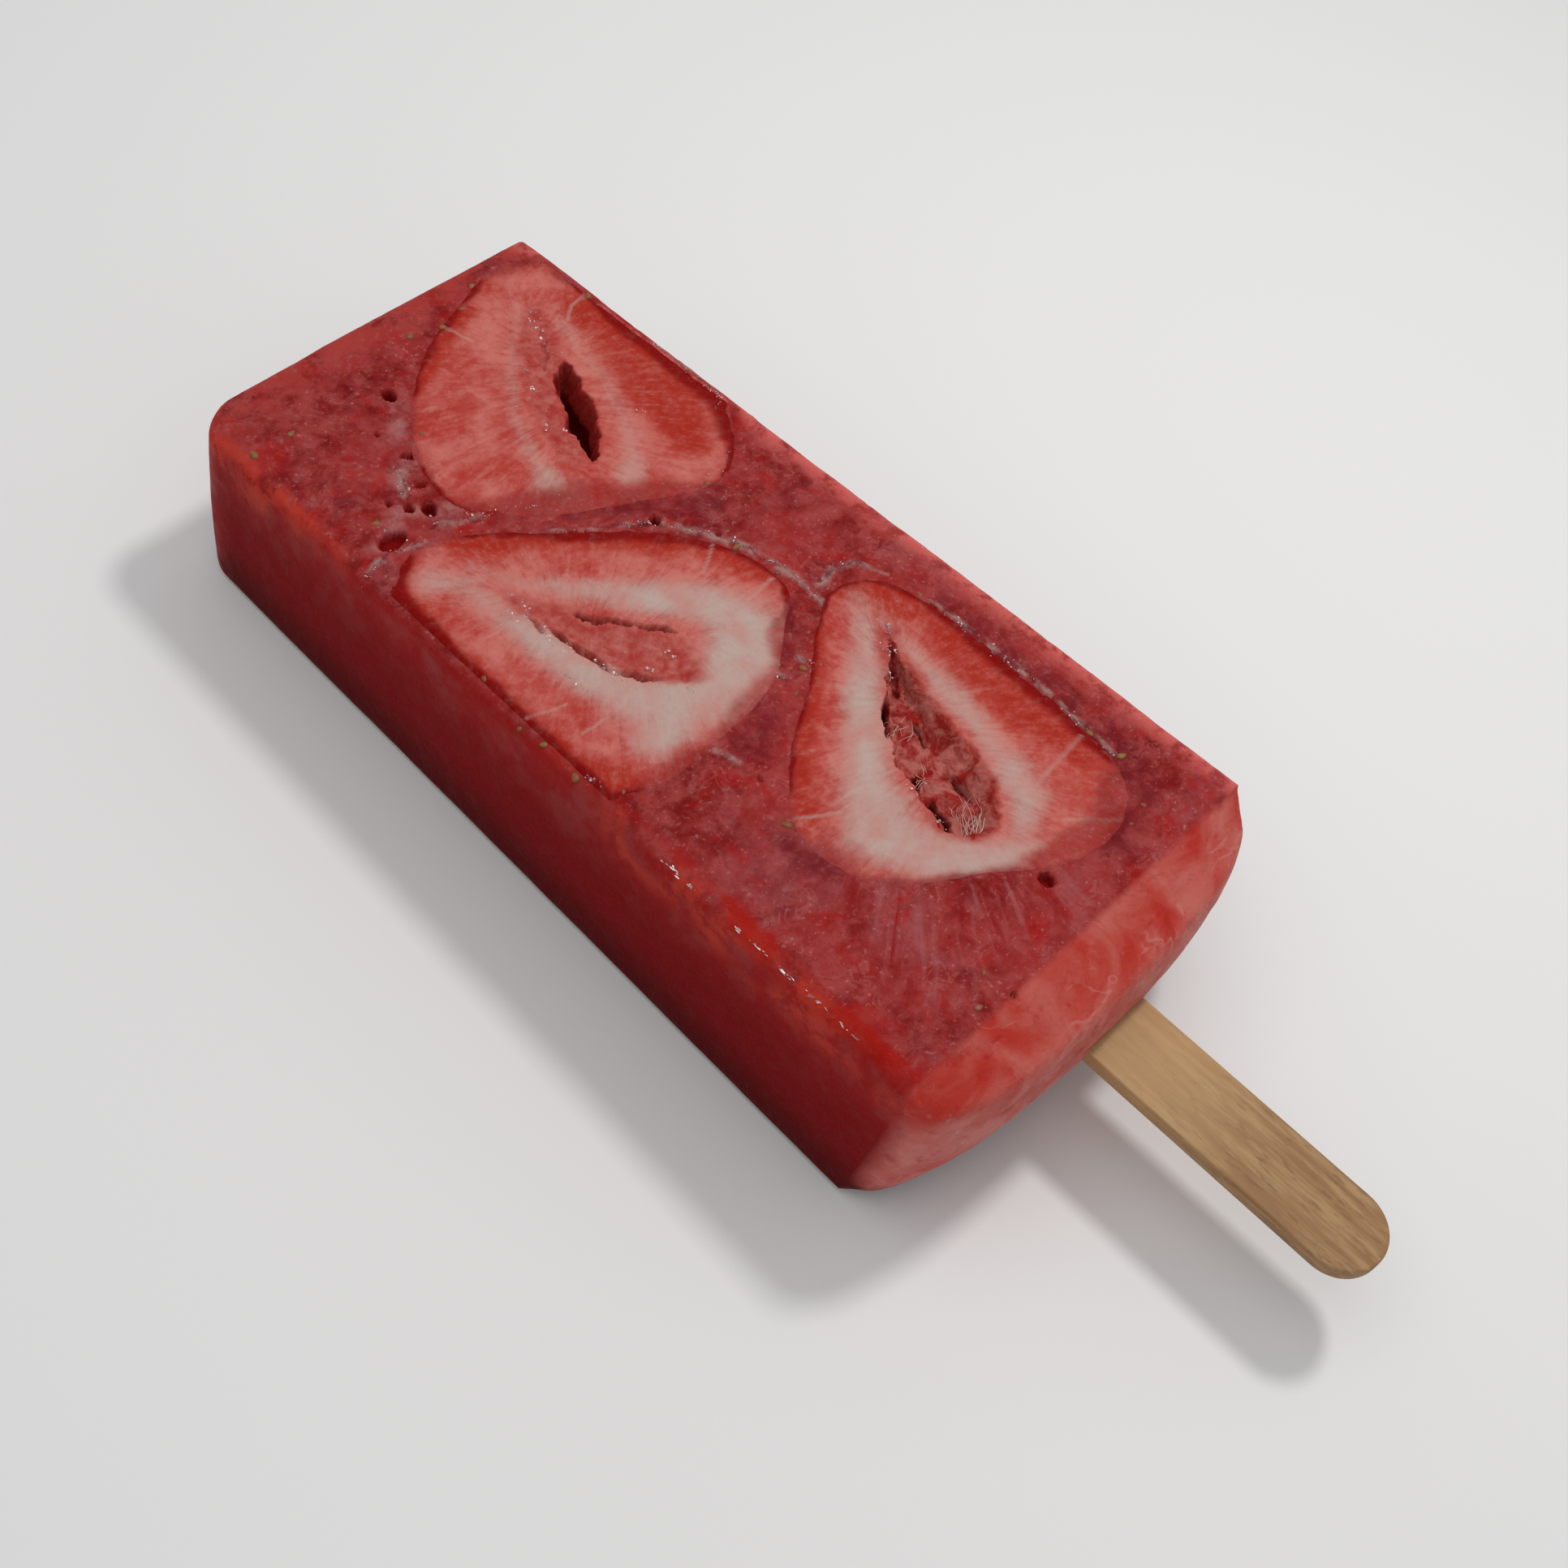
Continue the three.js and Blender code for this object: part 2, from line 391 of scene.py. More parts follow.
def makeFloor():
    bm = bmesh.new()
    bmesh.ops.create_grid(bm, x_segments=1, y_segments=1, size=light["floorReach"])
    floor = bpy.data.objects.new("floor", meshFrom(bm, "floor"))
    bpy.context.scene.collection.objects.link(floor)
    material, _, shader = startMaterial("pale floor")
    shader.inputs["Base Color"].default_value = tone(light["floor"])
    shader.inputs["Roughness"].default_value = light["floorRoughness"]
    floor.data.materials.append(material)
    print("floor")


def walkLoop(edges):  # the vertices of a closed run of edges, in order
    start = edges[0].verts[0]
    found, here, came = [start], edges[0].verts[1], edges[0]
    edges = set(edges)
    while here is not start:
        found.append(here)
        came = next(e for e in here.link_edges if e in edges and e is not came)
        here = came.other_vert(here)
    return np.array([v.co[:] for v in found])


def cutFace(name):  # the outline of the flat cut face, on the slab
    bm = bmesh.new()
    bm.from_mesh(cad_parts[name].data)
    bmesh.ops.remove_doubles(bm, verts=bm.verts[:], dist=0.00002)
    lean = Vector((0, slab["thickness"] - slab["farThickness"], slab["length"])).normalized()
    up = set()
    for face in bm.faces:
        middle = face.calc_center_median() / mm
        if face.normal.dot(lean) > 0.9995 and middle.z > thicknessAt(middle.y - slab["shoulder"]) - 0.1:
            up.add(face)
    rim = {e for e in bm.edges if len(up & set(e.link_faces)) == 1}
    loops = []
    while rim:
        group, queue = set(), [next(iter(rim))]
        while queue:
            edge = queue.pop()
            if edge in group:
                continue
            group.add(edge)
            queue += [e for v in edge.verts for e in v.link_edges if e in rim and e not in group]
        rim -= group
        loops.append(toSlab(walkLoop(list(group)))[:, :2])
    bm.free()
    longest = max(loops, key=lambda loop: np.ptp(loop[:, 1]))
    return longest if areaOf(longest) > 0 else longest[::-1]


def areaOf(loop):
    after = np.roll(loop, -1, axis=0)
    return np.sum(loop[:, 0] * after[:, 1] - after[:, 0] * loop[:, 1]) / 2


def resample(line, count):  # even points along an open run
    steps = np.linalg.norm(np.diff(line, axis=0), axis=1)
    run = np.concatenate([[0], np.cumsum(steps)])
    want = np.linspace(0, run[-1], count)
    return np.stack([np.interp(want, run, line[:, axis]) for axis in (0, 1)], axis=1)


def halves(loop, direction, count):  # even points from the fruit's tip, half of them on each side
    away = loop - (loop.max(axis=0) + loop.min(axis=0)) / 2
    tipward = away @ direction
    sideways = 0.6 * np.abs(away @ (-direction[1], direction[0]))
    tip, base = int(np.argmax(tipward - sideways)), int(np.argmin(tipward + sideways))
    turned = np.roll(loop, -tip, axis=0)
    closed = np.vstack([turned, turned[:1]])
    base = (base - tip) % len(loop)
    first = resample(closed[:base + 1], count // 2 + 1)[:-1]
    return np.vstack([first, resample(closed[base:], count // 2 + 1)[:-1]])


# Lean is how far a fruit's tip is turned from +Y, and hollow is its core's outline. Pits are as in the
# puree. The others are runs of x, y and half width: pale flesh, thin threads across it, deep red rim,
# warm red flesh, pith, and the veil of puree over the fruit.
berries = {
    "strawberry_far": {
        "piece": "far_strawberry",
        "lean": 30,
        "hollow": [
            (13.9, 88.0), (11.4, 87.2), (9.6, 84.9), (8.6, 82.4), (6.6, 79.3), (6.2, 77.6), (5.7, 75.6),
            (5.2, 74.0), (6.5, 74.7), (8.9, 77.0), (11.5, 80.0), (12.8, 83.6),
        ],
        "hollowDepth": (4.6, 0.45, 0.9),   # depth, and how wide its left and right walls are
        "pale": [
            [(-0.8, 75.0, 1.5), (1.6, 80.9, 0.9), (3.7, 85.4, 0.7), (6.4, 89.3, 0.8), (11.3, 93.8, 0.7),
             (16.5, 98.3, 0.5)],
            [(7.0, 70.4, 1.5), (9.8, 72.8, 1.1), (12.7, 76.8, 0.8), (14.8, 81.6, 0.7),
             (15.8, 86.5, 0.7), (17.6, 91.3, 0.9), (18.3, 94.8, 0.6)],
        ],
        "threads": [
            [(18.6, 92.6, 0.14), (20.4, 94.0, 0.12), (23.0, 94.4, 0.16)],
            [(6.5, 99.8, 0.14), (7.6, 96.6, 0.05)],
        ],
        "paleShare": 0.85,
        "paleFade": 0.8,
        "tornShare": 0.1,
        "deep": [
            [(24.3, 96, 0.3), (24.3, 90, 1.0), (24.0, 82, 1.6), (23.4, 74.5, 1.7), (21, 68.6, 1.2),
             (16.5, 65.4, 0.4)],
            [(-3.5, 95.6, 0.6), (-0.8, 98.0, 0.4), (2.2, 99.2, 0.8), (5.2, 99.6, 0.3),
             (8.3, 100.6, 0.7), (10.2, 101.0, 0.3), (12.6, 103.2, 0.7)],
            [(-10.2, 83.5, 0.4), (-10.4, 79, 0.5), (-8.6, 76.6, 0.4)],
        ],
        "warm": [
            [(21.4, 93, 1.2), (20.6, 84, 3.2), (19.4, 76, 3.4), (16.4, 70, 1.6)],
            [(-3, 95.4, 0.4), (4, 98.4, 0.4), (10, 101.0, 0.4)],
        ],
        "pith": [[(4.2, 76.5, 1.6), (7.2, 82.5, 2.4), (12.0, 90.0, 2.6), (16.5, 96.0, 1.0)]],
        "veil": [
            [(-9, 76, 2.0), (0, 71.2, 2.4), (6, 67.2, 2.4), (11, 65, 1.4)],
            [(14.5, 104.6, 0.9), (22, 103.6, 1.0)],
            [(-9.6, 88, 0.8), (-6.0, 93.4, 0.6)],
        ],
        "veilShare": 0.85,
        "pits": [
            (13.2, 90.5, 2.2, 0.25, 30, 0.4), (11.8, 88.8, 1.4, 0.3, 40, 0.5),
            (11.7, 103.7, 1.1, 0.8, -75, 0.5),
        ],
        "roughness": 0.25,
    },
    "strawberry_left": {
        "piece": "left_strawberry",
        "lean": -34,
        "hollow": [
            (-15.4, 66.8), (-14.9, 63.0), (-14.3, 59.9), (-13.9, 56.0), (-13.1, 52.2), (-11.0, 48.6),
            (-8.8, 45.6), (-6.4, 46.2), (-4.2, 48.2), (-3.6, 50.6), (-7.2, 55.0), (-11.1, 60.8),
        ],
        "hollowDepth": (0.4, 1.4, 3.6),
        "pale": [
            [(-17.8, 72.0, 0.7), (-17.0, 66.0, 1.2), (-16.2, 60.5, 1.7), (-15.2, 53, 2.3),
             (-13.4, 47, 3.3), (-8.0, 43.4, 3.2)],
            [(-14.6, 71.5, 0.5), (-11.6, 66.0, 0.9), (-8.2, 61.6, 1.3), (-4.0, 57.2, 1.8),
             (0.4, 52.6, 2.8), (1.8, 47.8, 3.6), (-4.6, 43.4, 3.4)],
            [(-15.5, 43.6, 2.6), (-1.0, 43.6, 2.4)],
            [(-15.6, 69.4, 0.8), (-19.0, 72.6, 1.4)],
        ],
        "threads": [
            [(3.5, 55.4, 0.1), (7.2, 57.8, 0.1)],
            [(-23.6, 53.2, 0.12), (-19.6, 52.0, 0.05)],
            [(4.6, 49.8, 0.1), (8.6, 50.2, 0.12)],
            [(-21.0, 48.4, 0.1), (-17.6, 48.0, 0.05)],
        ],
        "paleShare": 1.0,
        "paleFade": 1.3,
        "tornShare": 0.8,
        "deep": [
            [(-10.5, 75.0, 0.4), (-4, 70, 0.9), (2.6, 64.8, 1.5), (8, 59, 0.9), (9.8, 51, 0.5),
             (7.6, 46.4, 0.5)],
            [(-20.6, 77.2, 0.7), (-23.8, 73.5, 0.9), (-24.6, 65, 0.6), (-25.4, 55, 0.6),
             (-25.4, 46, 0.6), (-22.8, 41.0, 0.5)],
        ],
        "warm": [
            [(-13, 75, 0.8), (-6, 70.4, 1.3), (1.6, 64.0, 1.9), (6.8, 58.4, 0.9), (9.0, 51, 0.4)],
            [(-22.6, 75, 0.5), (-24.0, 65, 0.6), (-24.6, 55, 1.0), (-24.6, 46, 1.3), (-22.0, 41, 1.0)],
        ],
        "pith": [[(-14.6, 66.0, 1.0), (-12.0, 58.0, 2.2), (-8.6, 51.0, 3.6), (-7.2, 47.2, 2.0)]],
        "veil": [[(-20, 39.0, 0.9), (-10, 39.0, 0.7), (-1, 40.6, 0.7), (5, 44.6, 0.7)]],
        "veilShare": 0.7,
        "pits": [
            (-13.7, 56.2, 4.4, 0.6, -9, 2.0), (-11.4, 50.0, 3.2, 0.5, -38, 1.5),
            (-9.2, 57.6, 3.6, 0.45, -37, 2.4), (-5.9, 53.2, 2.4, 0.4, -35, 1.6),
            (-14.9, 61.5, 1.6, 0.3, 12, 0.7),
        ],
        "roughness": 0.14,
    },
    "strawberry_near": {
        "piece": "near_strawberry",
        "lean": 31,
        "hollow": [
            (13.3, 38.2), (10.2, 34.5), (6.9, 32.4), (4.6, 30.2), (2.5, 27.7), (0.6, 25.6),
            (-0.2, 22.3), (-1.3, 19.2), (-2.0, 16.8), (-0.5, 13.7), (2.0, 13.1), (4.9, 14.6),
            (6.8, 17.4), (8.2, 20.9), (9.2, 25.8), (9.9, 30.6), (11.2, 34.1),
        ],
        "hollowDepth": (2.1, 0.4, 3.6),
        "pale": [
            [(13.8, 42.5, 0.8), (9.4, 37.4, 1.4), (4.4, 33.2, 1.7), (-2.3, 26.7, 2.6),
             (-7.2, 20.6, 3.5), (-5.6, 15.6, 3.1), (-0.6, 11.2, 2.1), (3.4, 9.6, 1.2)],
            [(14.2, 41.0, 0.5), (12.3, 33.0, 1.1), (11.4, 27.2, 1.3), (10.4, 20.4, 1.4),
             (8.0, 14.0, 1.6), (4.6, 11.4, 1.2)],
        ],
        "threads": [
            [(10.4, 14.2, 0.16), (14, 14.6, 0.1), (18.2, 14.8, 0.16)],
            [(-12.4, 27.4, 0.14), (-8, 24.8, 0.12)],
            [(8.4, 9.4, 0.16), (10.8, 7.4, 0.12), (13.2, 5.4, 0.1)],
        ],
        "paleShare": 1.0,
        "paleFade": 1.3,
        "tornShare": 0.8,
        "deep": [
            [(11, 46.0, 0.4), (17.2, 44.4, 0.6), (19.5, 37, 0.7), (19.6, 27, 1.1), (19.5, 20, 1.2),
             (18.9, 12, 0.8)],
            [(9.5, 45.2, 0.4), (4, 41.8, 0.5), (0, 38.8, 0.4)],
            [(-3, 36.4, 0.5), (-10.2, 31.4, 0.5)],
        ],
        "warm": [
            [(14, 44.6, 0.8), (17.6, 36, 1.4), (17.4, 28, 2.6), (16.8, 21, 2.6), (16.8, 14, 1.2)],
            [(7, 43, 0.4), (0, 37.4, 0.7), (-7, 32.6, 0.7), (-10.0, 27.4, 0.4)],
        ],
        "pith": [[(12.4, 37.0, 1.2), (6.5, 28.0, 2.8), (1.0, 17.0, 3.6)]],
        "veil": [
            [(2, 7.4, 1.2), (6, 6.8, 1.8), (12, 6.4, 2.6), (17, 9, 1.4)],
            [(-13, 24, 1.2), (-12, 20, 1.0)],
            [(-6, 12.0, 0.7), (1, 7.4, 0.9)],
        ],
        "veilShare": 0.8,
        "pits": [
            (4.4, 29.8, 3.0, 0.7, 47, 3.4), (1.6, 23.0, 1.7, 0.6, 60, 1.2),
            (0.4, 18.6, 2.8, 0.6, 20, 1.4), (4.6, 19.0, 2.2, 0.55, 16, 1.0),
            (6.6, 26.4, 1.8, 0.5, 16, 0.9), (9.4, 33.0, 1.8, 0.5, 30, 0.8),
            (3.0, 15.9, 1.4, 0.4, 70, 0.6), (1.5, 6.4, 1.2, 1.0, 0, 1.2),
        ],
        "roughness": 0.45,
    },
}


def ontoEdge(loop):  # the cut face carried on over the slab's rounded left edge
    half = halfWidthAt(loop[:, 1])
    away = half + loop[:, 0]
    start, end = slab["leftEdgeRadius"] + 0.05, slab["leftEdgeRadius"] + slab["fleshBlend"]
    reach = slab["fleshReach"]
    wanted = np.maximum(lerp(reach, end, (away - start) / (end - start)), reach)
    return np.column_stack([np.where(away < end, wanted, away) - half, loop[:, 1]])


for node, berry in berries.items():
    lean = math.radians(berry["lean"])
    berry["tipward"] = np.array((math.sin(lean), math.cos(lean)))
    berry["outline"] = ontoEdge(cutFace(node))
    print(node, "outline points", len(berry["outline"]))


marks = {  # in the puree: runs of x, y and half width
    "pits": [   # broken bubbles: x, y, half length, half width, lean and depth
        (-5.2, 95.6, 1.15, 0.75, 10, 1.6), (-9.2, 87.2, 1.6, 0.5, -48, 1.3),
        (-10.0, 92.1, 0.45, 0.35, 0, 0.6), (-12.8, 80.4, 1.15, 0.95, 20, 1.7),
        (-14.4, 81.8, 0.75, 0.6, 0, 1.0), (-15.5, 83.6, 0.55, 0.45, 0, 0.7),
        (-11.2, 83.5, 0.7, 0.5, -60, 0.8), (-18.7, 79.4, 1.9, 1.2, 90, 1.3),
        (4.7, 64.1, 0.8, 0.75, 0, 1.2), (8.9, 66.3, 0.5, 0.4, 0, 0.6),
        (8.7, 58.4, 0.45, 0.4, 0, 0.5), (1.6, 6.1, 1.0, 0.9, 0, 1.2),
        (-11.2, 33.0, 0.45, 0.4, 0, 0.5), (-10.9, -0.2, 0.5, 0.4, 0, 0.8),
        (-19.6, 4.2, 0.4, 0.3, -40, 0.4), (-23.8, 3.2, 0.25, 0.2, 0, 0.3),
        (-3.7, 3.5, 0.25, 0.2, 0, 0.3), (-11.0, 8.2, 0.2, 0.2, 0, 0.3),
        (8.6, 3.8, 0.3, 0.3, 0, 0.3), (-22.8, 75.6, 0.5, 0.3, 60, 0.5),
    ],
    "streaks": [[(-14, 18, 1.5), (-12, 8, 4), (-4, 7, 3), (2, 4, 1.5)], [(-16, 12, 3), (-17, 4, 2)]],
    "fanCentre": (6.0, 26.0),   # where the streaks fan out from
    "dusk": [   # darker, purplish patches
        [(20.4, 36, 0.5), (20.6, 24, 0.7), (19.6, 12, 1.4), (16, 5, 2.0), (9, 4, 1.2)],
        [(-4, 38.4, 1.0), (-9, 36.4, 1.2)],
        [(-2, 71.0, 0.5), (6, 66.0, 1.0), (11, 62.0, 1.2)],
        [(3, 43, 0.8), (7, 46, 0.4)],
        [(-14.5, 27, 0.6), (-14.2, 20, 0.8)],
    ],
    "milk": [   # paler, milky patches
        [(-20.5, 79.6, 0.3), (-16, 81.6, 0.7), (-12, 79.0, 0.8), (-7.5, 77.0, 0.7)],
        [(-8.4, 90, 0.3), (-5.4, 94, 0.3)],
        [(-13.0, 84.8, 0.4), (-10.4, 87.6, 0.4)],
    ],
    "frost": [  # white frost that grew along the fruit
        [(3.3, 65.0, 0.22), (7.0, 60.2, 0.4), (9.6, 55.0, 0.5), (10.8, 48.7, 0.42), (10.3, 44.6, 0.2)],
        [(-5.4, 69.8, 0.12), (-0.8, 67.0, 0.14), (2.6, 64.9, 0.2), (4.6, 63.9, 0.25)],
        [(-0.9, 41.6, 0.2), (-0.1, 40.0, 0.15)],
        [(2.9, 41.1, 0.2), (3.6, 39.4, 0.2), (4.9, 37.6, 0.2)],
        [(19.5, 37.0, 0.3), (19.7, 33.0, 0.5), (19.7, 27.0, 0.5), (19.9, 23.0, 0.4),
         (19.4, 17.0, 0.4), (18.8, 11.0, 0.2)],
        [(11.8, 46.4, 0.4), (14.5, 46.9, 0.45), (17.3, 46.2, 0.35), (18.8, 43.0, 0.2)],
        [(23.8, 84.0, 0.2), (24.0, 78.0, 0.4), (23.7, 73.0, 0.4), (22.0, 70.6, 0.3)],
        [(-13.2, 77.6, 0.5), (-10.5, 76.3, 0.35), (-6.7, 75.4, 0.12), (-4.0, 73.6, 0.12),
         (-0.8, 73.0, 0.12)],
        [(12.6, 65.4, 0.2), (16.0, 64.9, 0.3), (18.4, 66.2, 0.2)],
        [(-13.6, 83.6, 0.5), (-11.8, 86.0, 0.3)],
        [(-12.5, 38.5, 0.2), (-11.5, 35.8, 0.15)],
        [(-25.2, 77.0, 0.3), (-20, 78.2, 0.3), (-16.4, 77.0, 0.25)],
    ],
}
marks["cracks"] = [[(x, y, 0.1) for x, y, _ in run] for run in marks["frost"]]

relief = {  # of the puree's surface, in mm
    "sink": 0.10,       # how far it froze below the mould's face
    "swell": 0.14,
    "dents": 0.05,
    "grain": 0.02,
    "swirl": 0.10,      # on the chamfer
    "pocks": 0.05,
    "frost": 0.22,      # its height
    "crack": 0.15,
    "lip": 0.03,        # round a pit
    "pocket": [(0.03, -0.1, 0.3), (0.5, 0.45, 0.9), (5.3, 0.8, 1.4)],  # depth, from and to how far inside
}


def edgeInset(distance, radius):  # how far a rounded edge has drawn in
    rise = np.maximum(radius - distance, 0)
    return radius - np.sqrt(radius * radius - rise * rise)


def gridBox(cells):  # a unit cube cut into squares
    bm = bmesh.new()
    bmesh.ops.create_cube(bm, size=1)
    for axis, count in enumerate(cells):
        edges = [e for e in bm.edges if abs(e.verts[0].co[axis] - e.verts[1].co[axis]) > 1e-6]
        bmesh.ops.subdivide_edges(bm, edges=edges, cuts=count - 1, use_grid_fill=True)
    return bm


def slabShape(cube):  # the points of a unit cube moved to the slab's faces, in slab mm
    across = cube[:, 0] * 2
    along = cube[:, 1] + 0.5
    up = cube[:, 2] + 0.5
    split = 1 - slab["chamferCells"]
    height = np.interp(up, [0, split, 1], [0, slab["ridge"], 1])
    fromTop = (1 - height) * slab["thickness"]
    below = edgeInset(height * slab["thickness"], slab["undersideRadius"])
    left = edgeInset(fromTop, slab["leftEdgeRadius"]) + below
    right = edgeInset(fromTop, slab["rightEdgeRadius"]) + below
    farY = slab["length"] + slab["farCrown"] * np.sin(np.pi * height) - right
    reach = (1 - np.abs(across) ** slab["crownPower"]) ** (1 / slab["crownPower"])
    bulge = slab["crown"] * np.interp(height, *zip(*slab["crownRows"])) * reach
    nearY = slab["undercut"] * (1 - height) ** 1.5 - bulge
    y = lerp(nearY, farY, along)
    lowX, highX = left - halfWidthAt(y), halfWidthAt(y) - right
    x = lerp(lowX, highX, (across + 1) / 2)
    for side, radius, edge in ((-1, slab["farLeftCornerRadius"], lowX),
                               (1, slab["farRightCornerRadius"], highX)):
        centreX, centreY = edge - side * radius, farY - radius
        awayX, awayY = (x - centreX) * side, y - centreY
        corner = (awayX > 0) & (awayY > 0)
        squeeze = np.where(corner, np.maximum(awayX, awayY) / np.maximum(np.hypot(awayX, awayY), 1e-9), 1)
        x = np.where(corner, centreX + side * awayX * squeeze, x)
        y = np.where(corner, centreY + awayY * squeeze, y)
    return np.stack([x, y, height * thicknessAt(y)], axis=1)


def surfaceDrop(points):  # how far the frozen surface lies below the mould's face
    soft = relief["swell"] * waves(points, 17, 3)
    return np.maximum(relief["sink"] + soft + relief["dents"] * waves(points, 5, 4, 2), 0.02)


def topAt(flat):  # the height of the upper face, with its rounded long edges
    x, y = flat.T
    height = thicknessAt(y)
    for side, radius in ((-1, slab["leftEdgeRadius"]), (1, slab["rightEdgeRadius"])):
        height = height - edgeInset(np.maximum(halfWidthAt(y) - side * x, 0), radius)
    return height


def insideBerries(flat):
    inside = np.full(len(flat), -1e9)
    for berry in berries.values():
        inside = np.maximum(inside, insideBy(flat, berry["outline"]))
    return inside


def nearFeatures(points):  # where the surface needs finer squares
    onTop = points[:, 2] > thicknessAt(points[:, 1]) - 0.4
    chamfer = (points[:, 1] < 0.4) & (points[:, 2] > slab["ridge"] * slab["thickness"] - 0.8)
    return (onTop & (insideBerries(points[:, :2]) < 1.6)) | chamfer


def finerTop(mesh, points):  # the squares near features cut in four
    bm = bmesh.new()
    bm.from_mesh(mesh)
    wanted = nearFeatures(points)
    bm.verts.ensure_lookup_table()
    edges = [e for e in bm.edges if wanted[e.verts[0].index] and wanted[e.verts[1].index]]
    bmesh.ops.subdivide_edges(bm, edges=edges, cuts=1, use_grid_fill=True)
    bmesh.ops.recalc_face_normals(bm, faces=bm.faces[:])
    bm.to_mesh(mesh)
    bm.free()


def makeSlab(material):
    mesh = meshFrom(gridBox(slab["cells"]), "frozen_puree")
    points = slabShape(meshPoints(mesh))
    setPoints(mesh, points)
    finerTop(mesh, points)
    points = meshPoints(mesh)
    normals = meshNormals(mesh)
    flat = points[:, :2]
    inside = insideBerries(flat)
    top = smooth(0.5, 0.1, topAt(flat) - points[:, 2]) * smooth(0.35, 0.7, normals[:, 2])
    roof = smooth(0.0, 0.2, normals[:, 2]) * smooth(0.5, 0.6, points[:, 2] / slab["thickness"])
    chamfer = smooth(0.3, -0.6, points[:, 1]) * smooth(0.05, 0.3, points[:, 2] / slab["thickness"])
    floorward = smooth(1.5, 0.0, points[:, 2])
    onFace = top * (inside < 0)

    # relief
    pocket = roof * sum(depth * smooth(start, end, inside) for depth, start, end in relief["pocket"])
    pit, lip = pitDepth(strayed(flat, 0.9, 0.12, 71), marks["pits"])
    frost = coverOf(strayed(flat, 1.6, 0.25, 75), marks["frost"], 0.35) * onFace
    frost = frost * smooth(-0.75, 0.25, waves(points, 1.1, 12, 2))
    crack = coverOf(strayed(flat, 1.4, 0.4, 79), marks["cracks"], 0.16) * onFace
    swirl = relief["swirl"] * waves(points + 2.5 * waves(points, 6, 8)[:, None], 3.2, 9, 2)
    pock = relief["pocks"] * smooth(0.2, 0.9, waves(points, 1.5, 14, 2)) * onFace * smooth(0, -1, inside)
    drop = surfaceDrop(points) + relief["grain"] * waves(points, 1.2, 5, 2) + chamfer * swirl + pock
    drop = np.maximum(drop, 0.01) * (1 - floorward)
    drop = drop - relief["frost"] * frost * (0.7 + 0.6 * waves(points, 0.6, 13)) + relief["crack"] * crack
    drop = drop + onFace * pit + pocket - onFace * lip * relief["lip"]
    points = points - normals * drop[:, None]
    half = slab["width"] / 2
    low = (-half, -slab["crown"], 0)
    high = (half, slab["length"] + slab["farCrown"], slab["thickness"])
    points = np.clip(points, low, high)
    setPoints(mesh, onSlab(points))

    # shares for the colours
    x, y, z = points.T
    leftward = -normals[:, 0]
    patchy = smooth(-0.7, 0.35, waves(points, 6, 81, 3))
    patchyToo = smooth(-0.1, 0.5, waves(points, 4, 83, 3))
    onEdge = smooth(0.02, 0.12, leftward) * smooth(0.5, 0.3, leftward)
    redLine = np.maximum(onEdge * (0.3 + 0.7 * patchyToo),
                         0.8 * smooth(6, 0.5, halfWidthAt(y) + x) * patchyToo)
    besideFruit = smooth(38, 44, y) * smooth(84, 78, y)
    shares = {
        # frost specks and a painted glow of light shining through the right edge
        "rightFrostAndGlow": smooth(3.6, 0.3, halfWidthAt(y) - x) * top,
        "farBand": smooth(7.0, 0.5, slab["length"] - y),
        # painted highlight: a lighter orange band along the rounded left edge
        "leftEdgeHighlight": (smooth(0.12, 0.42, leftward) * smooth(0.76, 0.94, z / topAt(flat))
                     * patchy * (1 - 0.85 * besideFruit)),
        "redLine": redLine * onFace * smooth(60, 40, y),
        # the side faces, painted darker than the top as shade
        "side": smooth(0.93, 0.4, normals[:, 2]) * (1 - chamfer),
        "height": z / slab["thickness"],
        "chamfer": chamfer,
        "frost": frost,
        "crack": crack * smooth(-0.6, 0.4, waves(points, 3, 87, 2)),
        "streak": coverOf(flat, marks["streaks"], 2.5) * onFace,
        "dusk": coverOf(strayed(flat, 2.5, 0.8, 91), marks["dusk"], 1.8) * top,
        "milk": coverOf(strayed(flat, 2.5, 0.8, 77), marks["milk"], 1.2) * top,
        "hush": smooth(-2.2, -0.2, inside) * onFace,
        # painted shade: darker in the pits, and under the fruit
        "pit": onFace * smooth(0.1, 0.7, pit) + smooth(0.9, 2, inside) * top,
    }
    for name, share in shares.items():
        paintShare(mesh, name, share)
    fan = mesh.uv_layers.new(name="fan")
    corner = np.empty(len(mesh.loops), int)
    mesh.loops.foreach_get("vertex_index", corner)
    away = flat - marks["fanCentre"]
    spread = np.stack([np.arctan2(away[:, 0], -away[:, 1]), np.hypot(*away.T) / 40], axis=1)
    fan.data.foreach_set("uv", spread[corner].astype(np.float32).ravel())
    addPiece("frozen_puree", mesh, material, "fruit_ice", "fruit_ice")


